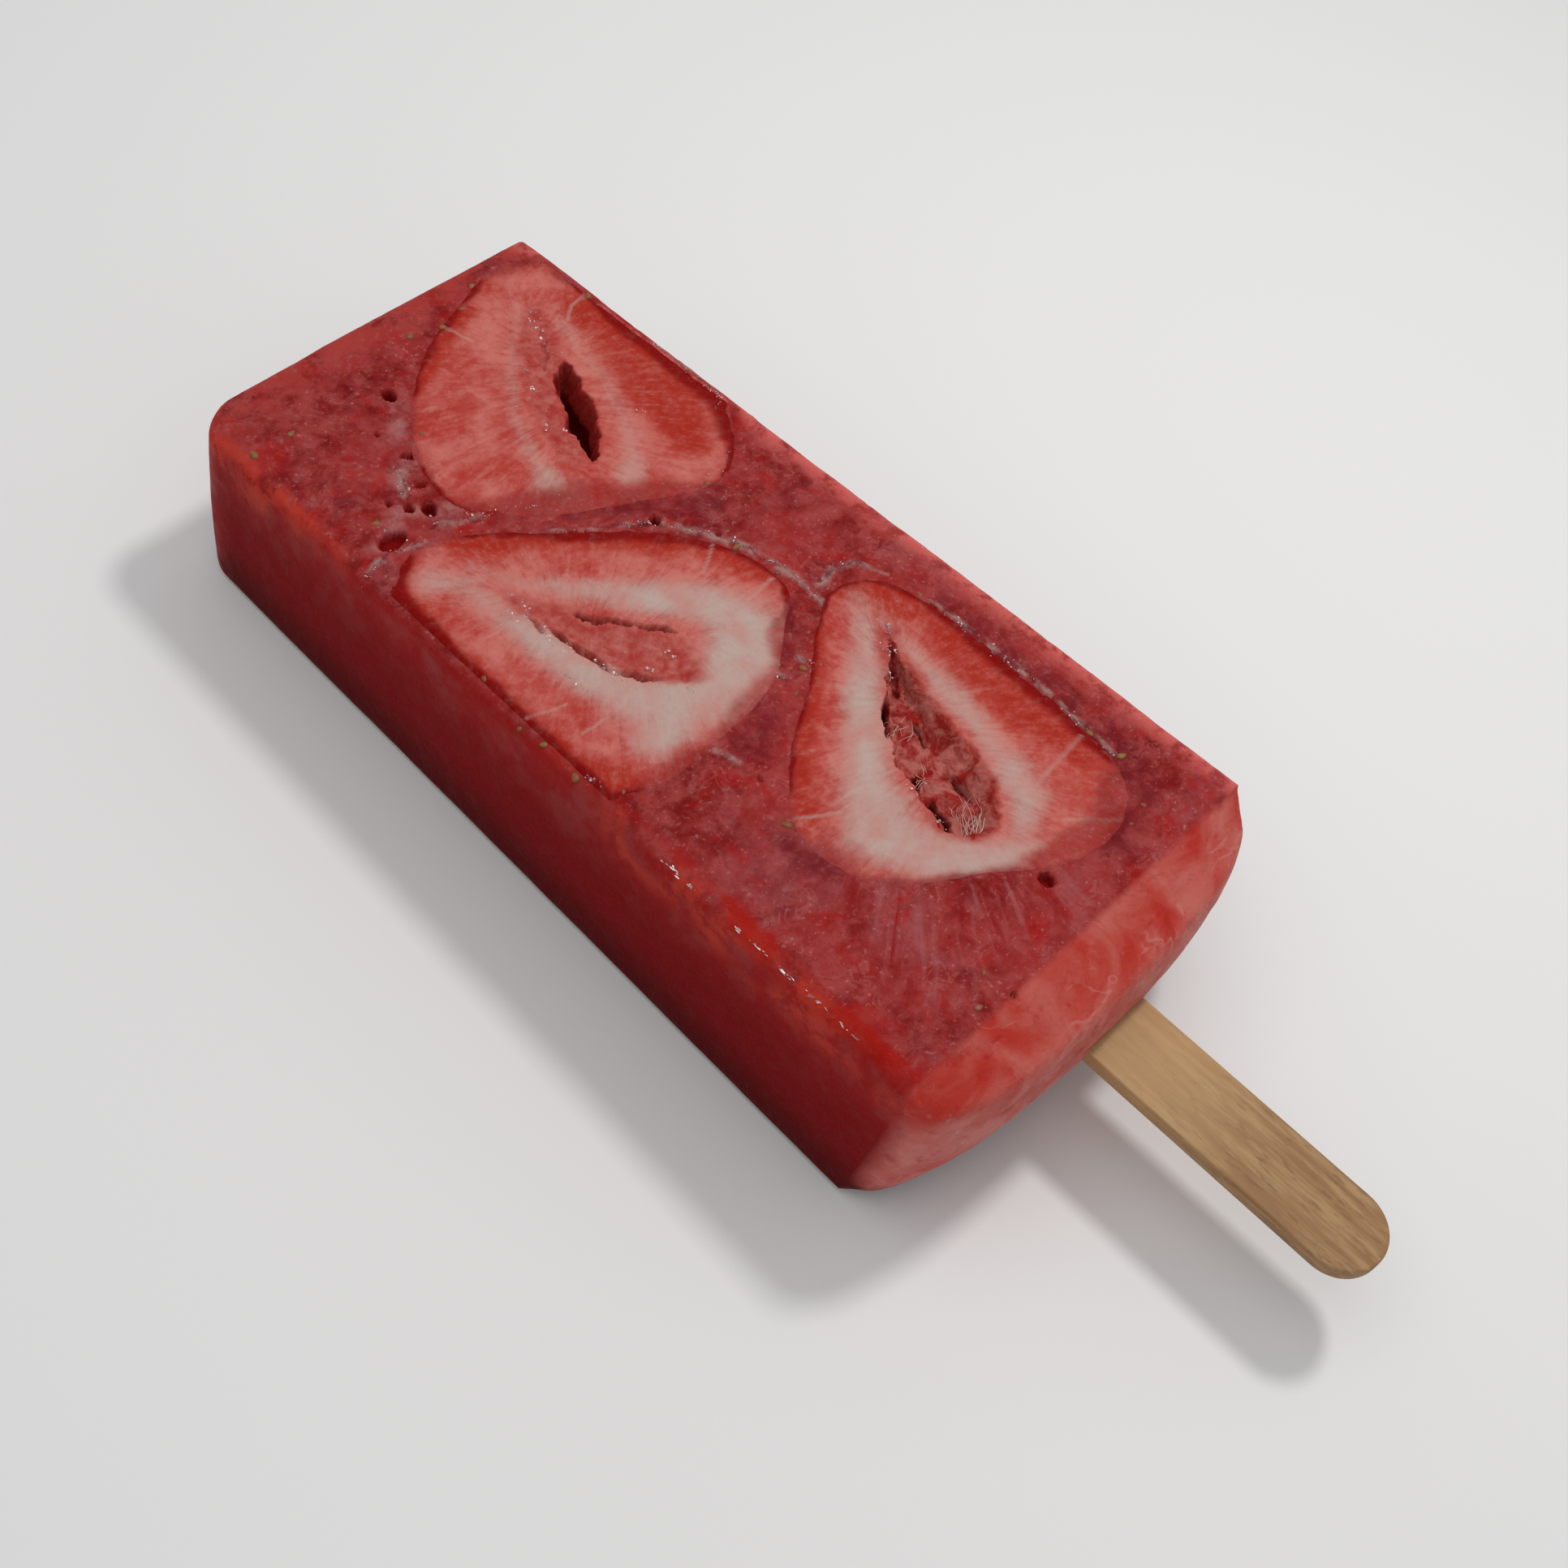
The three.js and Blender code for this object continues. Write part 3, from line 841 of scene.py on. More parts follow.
puree = {  # colours of the frozen puree
    "deep": "751013",
    "body": "922827",
    "dusty": "a64846",
    "lilac": "985055",
    "pale": "c08583",
    "speck": "60080c",
    "crimson": "a01614",
    # side faces: the ice's deeper red and painted shade, darker still low down and lighter towards the top
    "side": "7c0508",
    "sideLowShade": "540204",
    "sideTop": "9a1819",
    "sideFrost": "944644",
    # frost specks and a painted glow of light shining through the right edge
    "rightFrostAndGlow": "c8605a",
    "farBand": "a83c36",
    # painted highlight along the rounded left edge
    "leftEdgeHighlight": "b83a2e",
    "redLine": "a6180c",
    # brighter orange-red: partly the end's own colour, partly a painted glow of light shining through it
    "chamfer": "b4332a",
    "chamferPale": "c26a60",
    # frosty milk, and painted light low on the open end where the lamp doesn't reach
    "chamferMilkAndLight": "cc7a72",
    "swirl": "d0a098",
    "frost": "a07874",
    "crack": "561622",
    "dusk": "6c1a22",
    "milk": "a8706e",
    "streakPale": "ac6c70",
    "streakDeep": "861418",
    # painted shade in the pits and under the fruit
    "pit": "7c0b0b",
}


def pureeTone(tree, where):  # the cloudy colour that the slab and the iced-over fruit share
    cloud = noiseAt(tree, where, 0.13, 4, 0.6, 0.5)
    mottle = noiseAt(tree, where, 0.42, 6, 0.68, 0.3)
    colour = tint(tree, shape(tree, cloud, 0.38, 0.62), tone(puree["deep"]), tone(puree["body"]))
    colour = tint(tree, shape(tree, mottle, 0.36, 0.7, 0, 0.8), colour, tone(puree["dusty"]))
    lilac = shape(tree, noiseAt(tree, where, 0.10, 4, 0.6, 0.6), 0.48, 0.68, 0, 0.3)
    colour = tint(tree, lilac, colour, tone(puree["lilac"]))
    red = shape(tree, noiseAt(tree, where, 0.28, 5, 0.65, 0.5), 0.5, 0.68, 0, 0.6)
    colour = tint(tree, red, colour, tone(puree["crimson"]))
    vein = times(tree, veinAt(tree, noiseAt(tree, where, 0.42, 4, 0.6, 1.0), 0.05),
                 shape(tree, noiseAt(tree, where, 0.2, 2), 0.5, 0.66, 0, 0.16))
    colour = tint(tree, vein, colour, tone(puree["pale"]))
    speck = noiseAt(tree, where, 1.9, 3, 0.6)
    colour = tint(tree, shape(tree, speck, 0.58, 0.76, 0, 0.45), colour, tone(puree["pale"]))
    return tint(tree, shape(tree, speck, 0.4, 0.26, 0, 0.4), colour, tone(puree["speck"])), mottle, speck


finish = {
    "level": 0.06,        # strength of the plain reflections
    "bump": 0.35,
    "wetRoughness": 0.10,
    "subsurface": 0.25,
    "reach": (1.0, 0.2, 0.16),
    "reachScale": 0.0022,
}


def iceFinish(tree, shader, where, roughness, height, damp=1.0):  # dull frost with small wet spots
    tree.links.new(roughness, shader.inputs["Roughness"])
    addBump(tree, shader, height, finish["bump"], 0.0009)
    wet = noiseAt(tree, where, 0.7, 4, 0.7)
    tree.links.new(times(tree, shape(tree, wet, 0.58, 0.68, 0, 0.7), damp), shader.inputs["Coat Weight"])
    fineWaves = noiseAt(tree, where, 2.2, 2, 0.5)
    ripple = addNode(tree, "Bump", {"Height": fineWaves, "Strength": 1.0, "Distance": 0.0007})
    tree.links.new(ripple.outputs[0], shader.inputs["Coat Normal"])
    shader.inputs["Subsurface Weight"].default_value = finish["subsurface"]
    shader.inputs["Subsurface Radius"].default_value = finish["reach"]
    shader.inputs["Subsurface Scale"].default_value = finish["reachScale"]
    shader.inputs["IOR"].default_value = 1.31
    shader.inputs["Specular IOR Level"].default_value = finish["level"]
    shader.inputs["Coat Roughness"].default_value = finish["wetRoughness"]
    shader.inputs["Coat IOR"].default_value = 1.45


def sideColour(tree, height, haze, mottle):  # painted shade: darker towards the floor, lighter and hazy with frost towards the top
    colour = tint(tree, shape(tree, height, 0.05, 0.4), tone(puree["sideLowShade"]), tone(puree["side"]))
    colour = tint(tree, shape(tree, height, 0.45, 0.95), colour, tone(puree["sideTop"]))
    hazy = times(tree, haze, shape(tree, height, 0.4, 0.85), 0.5)
    colour = tint(tree, hazy, colour, tone(puree["sideFrost"]))
    return tint(tree, shape(tree, mottle, 0.5, 0.7, 0, 0.06), colour, tone(puree["sideFrost"]))


def chamferColour(tree, where, height, haze, mottle):  # milky and painted lighter low down, where the lamp doesn't reach, with smoky swirls
    smoky = shape(tree, noiseAt(tree, where, 0.15, 4, 0.55, 0.7), 0.3, 0.75)
    # the brighter orange-red is partly a painted glow of light shining through the open end
    colour = tint(tree, smoky, tone(puree["chamfer"]), tone(puree["chamferPale"]))
    # painted light: paler low down where the lamp doesn't reach, besides the milky frost
    milkyAndLit = times(tree, shape(tree, height, 0.9, 0.76), shape(tree, haze, 0.0, 1.0, 0.35, 0.9))
    colour = tint(tree, milkyAndLit, colour, tone(puree["chamferMilkAndLight"]))
    colour = tint(tree, shape(tree, mottle, 0.48, 0.3, 0, 0.5), colour, tone(puree["crimson"]))
    swirl = veinAt(tree, noiseAt(tree, where, 0.12, 2, 0.5, 1.2), 0.03)
    swirl = times(tree, swirl, shape(tree, noiseAt(tree, where, 0.16, 2), 0.46, 0.62), 0.25)
    return tint(tree, swirl, colour, tone(puree["swirl"]))


def pureeMaterial():
    material, tree, shader = startMaterial("frozen puree")
    where = placeIn(tree)
    colour, mottle, speck = pureeTone(tree, where)
    side = readShare(tree, "side")
    height = readShare(tree, "height")
    haze = shape(tree, noiseAt(tree, where, 0.22, 6, 0.7, 0.1), 0.44, 0.66)
    # the sides take the darker side colours, partly painted shade
    colour = tint(tree, times(tree, side, 0.97), colour, sideColour(tree, height, haze, mottle))
    fanMap = addNode(tree, "UVMap", uv_map="fan").outputs[0]
    fan = addNode(tree, "Mapping", {"Vector": fanMap, "Scale": (10, 1.8, 1)}).outputs[0]
    ray = noiseAt(tree, fan, 1.0, 4, 0.6, 0.5)
    streak = readShare(tree, "streak")
    hush = sums(tree, "SUBTRACT", 1.0, readShare(tree, "hush"))
    broken = times(tree, shape(tree, noiseAt(tree, where, 0.3, 5, 0.7), 0.4, 0.56, 0.1, 1), hush)
    for name, share in (
        ("streakPale", times(tree, streak, shape(tree, ray, 0.5, 0.7, 0, 0.6))),
        ("streakDeep", times(tree, streak, shape(tree, ray, 0.46, 0.34, 0, 0.8))),
        ("farBand", times(tree, readShare(tree, "farBand"), broken, 0.8)),
        # painted highlight along the rounded left edge
        ("leftEdgeHighlight", times(tree, readShare(tree, "leftEdgeHighlight"), broken, 0.95)),
        ("redLine", times(tree, readShare(tree, "redLine"), 0.8)),
        # frost specks and a painted glow of light shining through the right edge
        ("rightFrostAndGlow", times(tree, readShare(tree, "rightFrostAndGlow"), broken)),
    ):
        colour = tint(tree, share, colour, tone(puree[name]))
    openEnd = chamferColour(tree, where, height, haze, mottle)
    colour = tint(tree, readShare(tree, "chamfer"), colour, openEnd)
    for name, share in (
        ("dusk", times(tree, readShare(tree, "dusk"), shape(tree, mottle, 0.65, 0.35, 0.3, 0.85))),
        ("milk", times(tree, readShare(tree, "milk"), shape(tree, mottle, 0.35, 0.65, 0.1, 0.75))),
        ("frost", times(tree, readShare(tree, "frost"), shape(tree, speck, 0.35, 0.6, 0.45, 1))),
        ("crack", times(tree, readShare(tree, "crack"), 0.75)),
        # painted shade in the pits
        ("pit", readShare(tree, "pit")),
    ):
        colour = tint(tree, share, colour, tone(puree[name]))
    tree.links.new(colour, shader.inputs["Base Color"])
    grainy = plus(tree, noiseAt(tree, where, 1.6, 5, 0.65), mottle)
    damp = shape(tree, side, 0.1, 0.7, 1, 0.1)
    iceFinish(tree, shader, where, shape(tree, mottle, 0.3, 0.75, 0.36, 0.62), grainy, damp)
    return material


berryMesh = {
    "around": 360,
    "skinRows": [   # depth below the cut face, and how far in from the outline
        (5.2, 2.5), (3.9, 1.1), (2.1, 0.35), (0.9, 0.0), (0.45, -0.15), (0.12, -0.2), (0.04, -0.12),
    ],
    "faceRows": 84,
    "spine": 0.42,    # how far the face's middle line stops short of the fruit's ends
    "paleRise": 0.07,
    "ripples": (0.04, 0.02),
}

flesh = {  # colours of the cut strawberries
    "pink": "b2423a",
    "rose": "ca776d",
    "red": "a0241a",
    "warm": "a4281a",
    "deep": "800a08",
    "pale": "bba49b",
    "paleWarm": "bf8a81",
    "pith": "a2322d",
    "pithPale": "bb6c64",
    "torn": "bc756a",
    # painted shade deep in the hollow and pits
    "hollow": "4a0205",
    "hollowEdge": "8c100d",
}


def outwardOf(loop):
    along = np.roll(loop, -1, axis=0) - np.roll(loop, 1, axis=0)
    along /= np.linalg.norm(along, axis=1)[:, None]
    return np.stack([along[:, 1], -along[:, 0]], axis=1)


def fleshRelief(berry, flat):  # depth of the cut face, and how far inside its hollow and pith
    lifted = np.column_stack([flat, np.zeros(len(flat))])
    torn = strayed(strayed(flat, 1.7, 0.34, 31), 0.55, 0.2, 32)
    loop = np.array(berry["hollow"])
    inside = insideBy(torn, loop)
    rightward = (flat - loop.mean(axis=0)) @ (berry["tipward"][1], -berry["tipward"][0])
    deep, leftWall, rightWall = berry["hollowDepth"]
    wall = lerp(leftWall, rightWall, smooth(-0.5, 2.2, rightward))
    hollow = smooth(-0.12, 1, inside / wall)
    lining = smooth(-0.3, 0.3, inside / wall)
    depth = deep * (0.6 * hollow + 0.4 * smooth(0.1, 1.7, inside))
    lumps = waves(lifted, 1.5, 33, 3)
    pith = np.maximum(coverOf(strayed(flat, 2.2, 0.5, 35), berry["pith"], 0.8), hollow)
    depth = depth + berry["roughness"] * lumps * np.maximum(pith * 0.45, hollow)
    pit, _ = pitDepth(strayed(strayed(flat, 1.6, 0.4, 37), 0.5, 0.15, 38), berry["pits"])
    pale = coverOf(strayed(flat, 4.0, 0.45, 39), berry["pale"], berry["paleFade"], 0.5, 1.9)
    depth = depth + pit - berryMesh["paleRise"] * pale * (1 - hollow)
    broad, fine = berryMesh["ripples"]
    depth = depth + broad * waves(lifted, 2.4, 41, 2) + fine * waves(lifted, 0.7, 43, 2)
    # painted shade: darker deep in the hollow and the pits
    sunkShade = smooth(0.8, 4.2, deep * hollow * smooth(0, 1.2, inside) + pit * 1.3)
    return depth, hollow, lining, sunkShade, pith, pale


def makeBerry(node, berry, material):
    count, skin, faceRows = berryMesh["around"], berryMesh["skinRows"], berryMesh["faceRows"]
    outer = halves(berry["outline"], berry["tipward"], count)
    rows = len(skin) + faceRows
    bm = bmesh.new()
    bmesh.ops.create_grid(bm, x_segments=count, y_segments=rows - 1, size=0.5)
    layer = bm.loops.layers.uv.new("flesh")
    for face in bm.faces:
        for loop in face.loops:
            loop[layer].uv = (loop.vert.co.x + 0.5, loop.vert.co.y + 0.5)
    mesh = meshFrom(bm, berry["piece"])
    grid = meshPoints(mesh)
    step = np.rint((grid[:, 0] + 0.5) * count).astype(int) % count
    row = np.rint((grid[:, 1] + 0.5) * (rows - 1)).astype(int)
    outward = outwardOf(outer)
    middle = outer.mean(axis=0)
    tip, base = (lerp(outer[at], middle, berryMesh["spine"]) for at in (0, count // 2))
    run = np.minimum(np.arange(count), count - np.arange(count)) / (count / 2)
    spine = lerp(tip, base, run[:, None])
    face = row >= len(skin)
    across = np.clip((row - len(skin) + 1) / faceRows, 0, 1)
    depthOf, insetOf = np.array(skin + [(0, 0.05)] * faceRows).T
    flat = outer[step] - outward[step] * insetOf[row][:, None]
    flat = lerp(flat, spine[step], across[:, None])
    half = halfWidthAt(flat[:, 1]) - 0.06 - 0.3 * np.minimum(depthOf[row], 2)
    flat[:, 0] = np.clip(flat[:, 0], -half, half)
    relief, hollow, lining, sunkShade, pith, pale = fleshRelief(berry, flat)
    rise = lerp(-0.025, 0.03, smooth(0, 0.05, across))
    lifted = np.column_stack([flat, thicknessAt(flat[:, 1])])
    height = topAt(flat) - surfaceDrop(lifted) - depthOf[row]
    height = height + np.where(face, rise - relief * smooth(0, 0.05, across), 0)
    setPoints(mesh, onSlab(np.column_stack([flat, height])))

    rim = insideBy(flat, berry["outline"])
    skinSide = np.where(face, 0, smooth(0.1, 0.9, depthOf[row]))
    deep = rimBand(strayed(flat, 3.0, 0.5, 45), berry["deep"], rim + 0.3 * waves(lifted, 2.0, 55, 2))
    veil = coverOf(strayed(flat, 3.0, 0.9, 49), berry["veil"], 1.2) * berry["veilShare"]
    edge = smooth(0.9, 0.1, rim + 0.5 * waves(lifted, 2.2, 53, 2)) * (1 - deep) * 0.85
    shares = {
        "rim": np.clip(rim / 10, 0, 1) * face,
        "pale": pale * (1 - hollow) * berry["paleShare"],
        "pith": pith,
        "hollow": lining * min(1, berry["hollowDepth"][0] / 2),
        "torn": lining * berry["tornShare"],
        "threads": coverOf(strayed(flat, 1.5, 0.15, 51), berry["threads"], 0.2),
        "sunkShade": sunkShade,
        "deep": np.maximum(deep, skinSide),
        "warm": coverOf(strayed(flat, 4.0, 0.5, 47), berry["warm"], 2.0, 0.6),
        "veil": np.maximum(veil, edge),
    }
    for name, share in shares.items():
        paintShare(mesh, name, share)
    closeUp(mesh, 0.000002)
    addPiece(berry["piece"], mesh, material, "strawberry", node)


def fleshMaterial():
    material, tree, shader = startMaterial("strawberry flesh")
    where = placeIn(tree)
    iced, mottle, _ = pureeTone(tree, where)
    cloth = addNode(tree, "UVMap", uv_map="flesh").outputs[0]
    rays = addNode(tree, "Mapping", {"Vector": cloth, "Scale": (110, 3.5, 1)}).outputs[0]
    ray = noiseAt(tree, rays, 1.0, 4, 0.65, 0.4)
    broad = addNode(tree, "Mapping", {"Vector": cloth, "Scale": (24, 1.6, 1)}).outputs[0]
    lobe = noiseAt(tree, broad, 1.0, 3, 0.6, 0.5)
    soft = noiseAt(tree, where, 0.2, 3, 0.55, 0.4)
    fine = noiseAt(tree, where, 1.7, 4, 0.7)
    grain = noiseAt(tree, where, 1.1, 5, 0.7)
    rough = noiseAt(tree, where, 0.7, 5, 0.65, 0.2)
    colour = tint(tree, shape(tree, soft, 0.36, 0.68, 0, 0.75), tone(flesh["pink"]), tone(flesh["rose"]))
    near = plus(tree, readShare(tree, "rim"), swing(tree, lobe, 0.15))
    for name, share in (
        ("red", shape(tree, near, 0.3, 0.0, 0, 0.55)),
        ("rose", shape(tree, ray, 0.48, 0.74, 0, 0.4)),
        ("red", shape(tree, ray, 0.48, 0.26, 0, 0.4)),
        ("rose", shape(tree, grain, 0.46, 0.72, 0, 0.4)),
        ("red", shape(tree, grain, 0.5, 0.26, 0, 0.4)),
    ):
        colour = tint(tree, share, colour, tone(flesh[name]))
    warm = plus(tree, readShare(tree, "warm"), swing(tree, lobe, 0.3))
    brighter = shape(tree, plus(tree, ray, grain), 0.8, 1.3, 0, 0.45)
    warmTone = tint(tree, brighter, tone(flesh["warm"]), colour)
    colour = tint(tree, shape(tree, warm, 0.0, 0.9, 0, 0.92), colour, warmTone)
    deep = plus(tree, readShare(tree, "deep"), swing(tree, ray, 0.4))
    colour = tint(tree, shape(tree, deep, 0.05, 1.0), colour, tone(flesh["deep"]))
    fringe = plus(tree, readShare(tree, "pale"), swing(tree, ray, 0.5))
    fringe = plus(tree, fringe, swing(tree, grain, 0.5))
    paleTone = tint(tree, shape(tree, soft, 0.3, 0.75), tone(flesh["pale"]), tone(flesh["paleWarm"]))
    colour = tint(tree, shape(tree, fringe, -0.05, 1.1), colour, paleTone)
    colour = tint(tree, times(tree, readShare(tree, "threads"), 0.5), colour, paleTone)
    pithTone = tint(tree, shape(tree, rough, 0.32, 0.76), tone(flesh["pith"]), tone(flesh["pithPale"]))
    colour = tint(tree, times(tree, readShare(tree, "pith"), 0.85), colour, pithTone)
    shreds = shape(tree, noiseAt(tree, where, 0.5, 5, 0.7, 0.6), 0.4, 0.62)
    torn = tint(tree, shreds, tone(flesh["hollowEdge"]), tone(flesh["torn"]))
    torn = tint(tree, readShare(tree, "torn"), tone(flesh["hollowEdge"]), torn)
    colour = tint(tree, shape(tree, readShare(tree, "hollow"), 0.2, 0.8, 0, 0.85), colour, torn)
    # painted shade deep in the hollow and pits
    colour = tint(tree, shape(tree, readShare(tree, "sunkShade"), 0.5, 1.0), colour, tone(flesh["hollow"]))
    colour = tint(tree, shape(tree, fine, 0.62, 0.8, 0, 0.3), colour, tone(flesh["pale"]))
    veil = times(tree, readShare(tree, "veil"), shape(tree, mottle, 0.25, 0.6, 0.6, 1))
    colour = tint(tree, veil, colour, iced)
    tree.links.new(colour, shader.inputs["Base Color"])
    grainy = plus(tree, fine, plus(tree, rough, times(tree, ray, 0.8)))
    iceFinish(tree, shader, where, shape(tree, fine, 0.3, 0.7, 0.34, 0.58), grainy)
    return material


def lieAt(x, y):  # the height of the frozen surface in slab mm
    flat = np.array([[x, y]], float)
    return float(topAt(flat)[0] - surfaceDrop(np.array([[x, y, thicknessAt(y)]]))[0])


def copies(bm, name, count):  # the shape in the mesh, so many times over
    each = len(bm.verts)
    template = meshFrom(bm, name)
    bm = bmesh.new()
    for _ in range(count):
        bm.from_mesh(template)
    return meshFrom(bm, name), each


def placedCopies(bm, name, places, scales, turns, rough=None):  # one joined mesh of a shape's copies
    mesh, each = copies(bm, name, len(places))
    points = meshPoints(mesh).reshape(len(places), each, 3)
    if rough is not None:
        points = points * rough
    points = points * np.array(scales)[:, None, :]
    matrices = np.array([np.array(turn.to_matrix()) for turn in turns])
    points = np.einsum("nij,nkj->nki", matrices, points) + np.array(places)[:, None, :]
    points = points.reshape(-1, 3)
    points[:, 2] = np.minimum(points[:, 2], slab["thickness"] - 0.02)
    points[:, 0] = np.clip(points[:, 0], 0.02 - slab["width"] / 2, slab["width"] / 2 - 0.02)
    setPoints(mesh, onSlab(points))
    return mesh


seeds = {
    "size": (0.52, 0.34, 0.26),     # half length, half width, half thickness
    "spread": 0.3,
    "sink": 0.15,
    "tones": ("80622c", "84442a", "7c2820"),
    "places": [
        (6.6, 100.2), (10.3, 101.2), (2.7, 101.4), (13.6, 103.4), (-9.8, 80.7), (23.3, 94.2), (13.0, 64.4),
        (-6.2, 89.1), (-23.5, 59.7), (-24.6, 53.1), (-24.6, 45.2), (-22.6, 40.6), (6.8, 60.0),
        (8.9, 55.8), (9.8, 50.5), (2.3, 39.8), (-0.6, 38.0), (19.4, 38.6), (-13.2, 27.4), (19.2, 14.6),
        (19.4, 10.5), (13.5, 4.5), (16.3, 5.2), (-11.3, 3.4), (-17.0, 97.7), (-22.0, 97.7), (-18.4, 82.2),
        (-19.5, 22.0), (-14.5, 1.3), (-24.3, 50.0),
    ],
}


def makeSeeds():
    rng = random.Random(5)
    bm = bmesh.new()
    bmesh.ops.create_uvsphere(bm, u_segments=12, v_segments=8, radius=1)
    for vert in bm.verts:
        vert.co.y *= 1 - 0.35 * vert.co.x
        vert.co.z *= 1 - 0.25 * vert.co.x
    places, scales, turns = [], [], []
    for x, y in seeds["places"]:
        grow = 1 + rng.uniform(-1, 1) * seeds["spread"]
        scales.append([half * grow for half in seeds["size"]])
        turns.append(Euler((rng.uniform(-0.3, 0.3), rng.uniform(-0.3, 0.3), rng.uniform(0, 2 * math.pi))))
        places.append((x, y, lieAt(x, y) - seeds["sink"]))
    mesh = placedCopies(bm, "strawberry_seeds", places, scales, turns)
    material, tree, shader = startMaterial("strawberry seed")
    where = placeIn(tree)
    worn = shape(tree, noiseAt(tree, where, 0.14, 2), 0.4, 0.6)
    plain, brown, stained = (tone(code) for code in seeds["tones"])
    colour = tint(tree, worn, plain, brown)
    colour = tint(tree, shape(tree, noiseAt(tree, where, 1.2, 3), 0.46, 0.7, 0, 0.6), colour, stained)
    tree.links.new(colour, shader.inputs["Base Color"])
    shader.inputs["Roughness"].default_value = 0.45
    shader.inputs["Specular IOR Level"].default_value = 0.3
    addPiece("strawberry_seeds", mesh, material, "seed")


fibres = {
    "fans": [   # start, end, scatter at each, count, depth
        ((0.4, 14.4), (3.2, 16.2), (1.6, 2.2), 26, 0.9),
        ((1.8, 13.8), (2.8, 17.4), (2.0, 2.2), 18, 1.1),
        ((3.8, 27.4), (6.0, 28.6), (1.0, 1.6), 6, 1.5),
        ((1.2, 22.6), (3.2, 23.6), (1.2, 1.6), 7, 1.6),
        ((7.2, 33.2), (9.4, 35.0), (0.8, 0.9), 8, 0.8),
    ],
    "radius": (0.02, 0.05),
    "bow": 0.9,
    "steps": 9,
    "sides": 5,
    "tones": ("c07c72", "e6c8c0"),
}


def makeFibres():
    rng = random.Random(9)
    steps, sides = fibres["steps"], fibres["sides"]
    strands = []
    for start, end, scatter, count, depth in fibres["fans"]:
        for _ in range(count):
            ends = [(x + rng.gauss(0, 0.5) * reach, y + rng.gauss(0, 0.5) * reach)
                    for (x, y), reach in zip((start, end), scatter)]
            bow = [rng.uniform(-1, 1) * fibres["bow"] for _ in range(4)]
            strands.append((*ends, bow, depth, rng.uniform(0, 1.0), rng.uniform(*fibres["radius"])))
    bm = bmesh.new()
    bmesh.ops.create_grid(bm, x_segments=sides, y_segments=steps - 1, size=0.5)
    mesh, each = copies(bm, "torn_fibres", len(strands))
    grid = meshPoints(mesh).reshape(len(strands), each, 3)
    angle = (grid[:, :, 0] + 0.5) * 2 * math.pi
    share = grid[:, :, 1] + 0.5
    arch = np.sin(np.pi * share)
    points = np.zeros_like(grid)
    for at, (start, end, bow, depth, sag, radius) in enumerate(strands):
        line = lerp(np.array(start), np.array(end), share[at][:, None])
        line = line + np.outer(arch[at], bow[:2]) + np.outer(np.sin(2 * np.pi * share[at]), bow[2:]) * 0.4
        across = np.array((end[1] - start[1], start[0] - end[0]))
        across = across / np.linalg.norm(across)
        thin = radius * arch[at] ** 0.5
        points[at, :, :2] = line + np.outer(np.cos(angle[at]) * thin, across)
        points[at, :, 2] = thicknessAt(line[:, 1]) - 0.25 - depth - sag * arch[at] + np.sin(angle[at]) * thin
    setPoints(mesh, onSlab(points.reshape(-1, 3)))
    closeUp(mesh, 0.0000005)
    material, tree, shader = startMaterial("torn fibre")
    where = placeIn(tree)
    colour = tint(tree, noiseAt(tree, where, 0.8, 2), *(tone(code) for code in fibres["tones"]))
    tree.links.new(colour, shader.inputs["Base Color"])
    shader.inputs["Roughness"].default_value = 0.4
    shader.inputs["Specular IOR Level"].default_value = 0.3
    addPiece("torn_fibres", mesh, material, "strawberry")


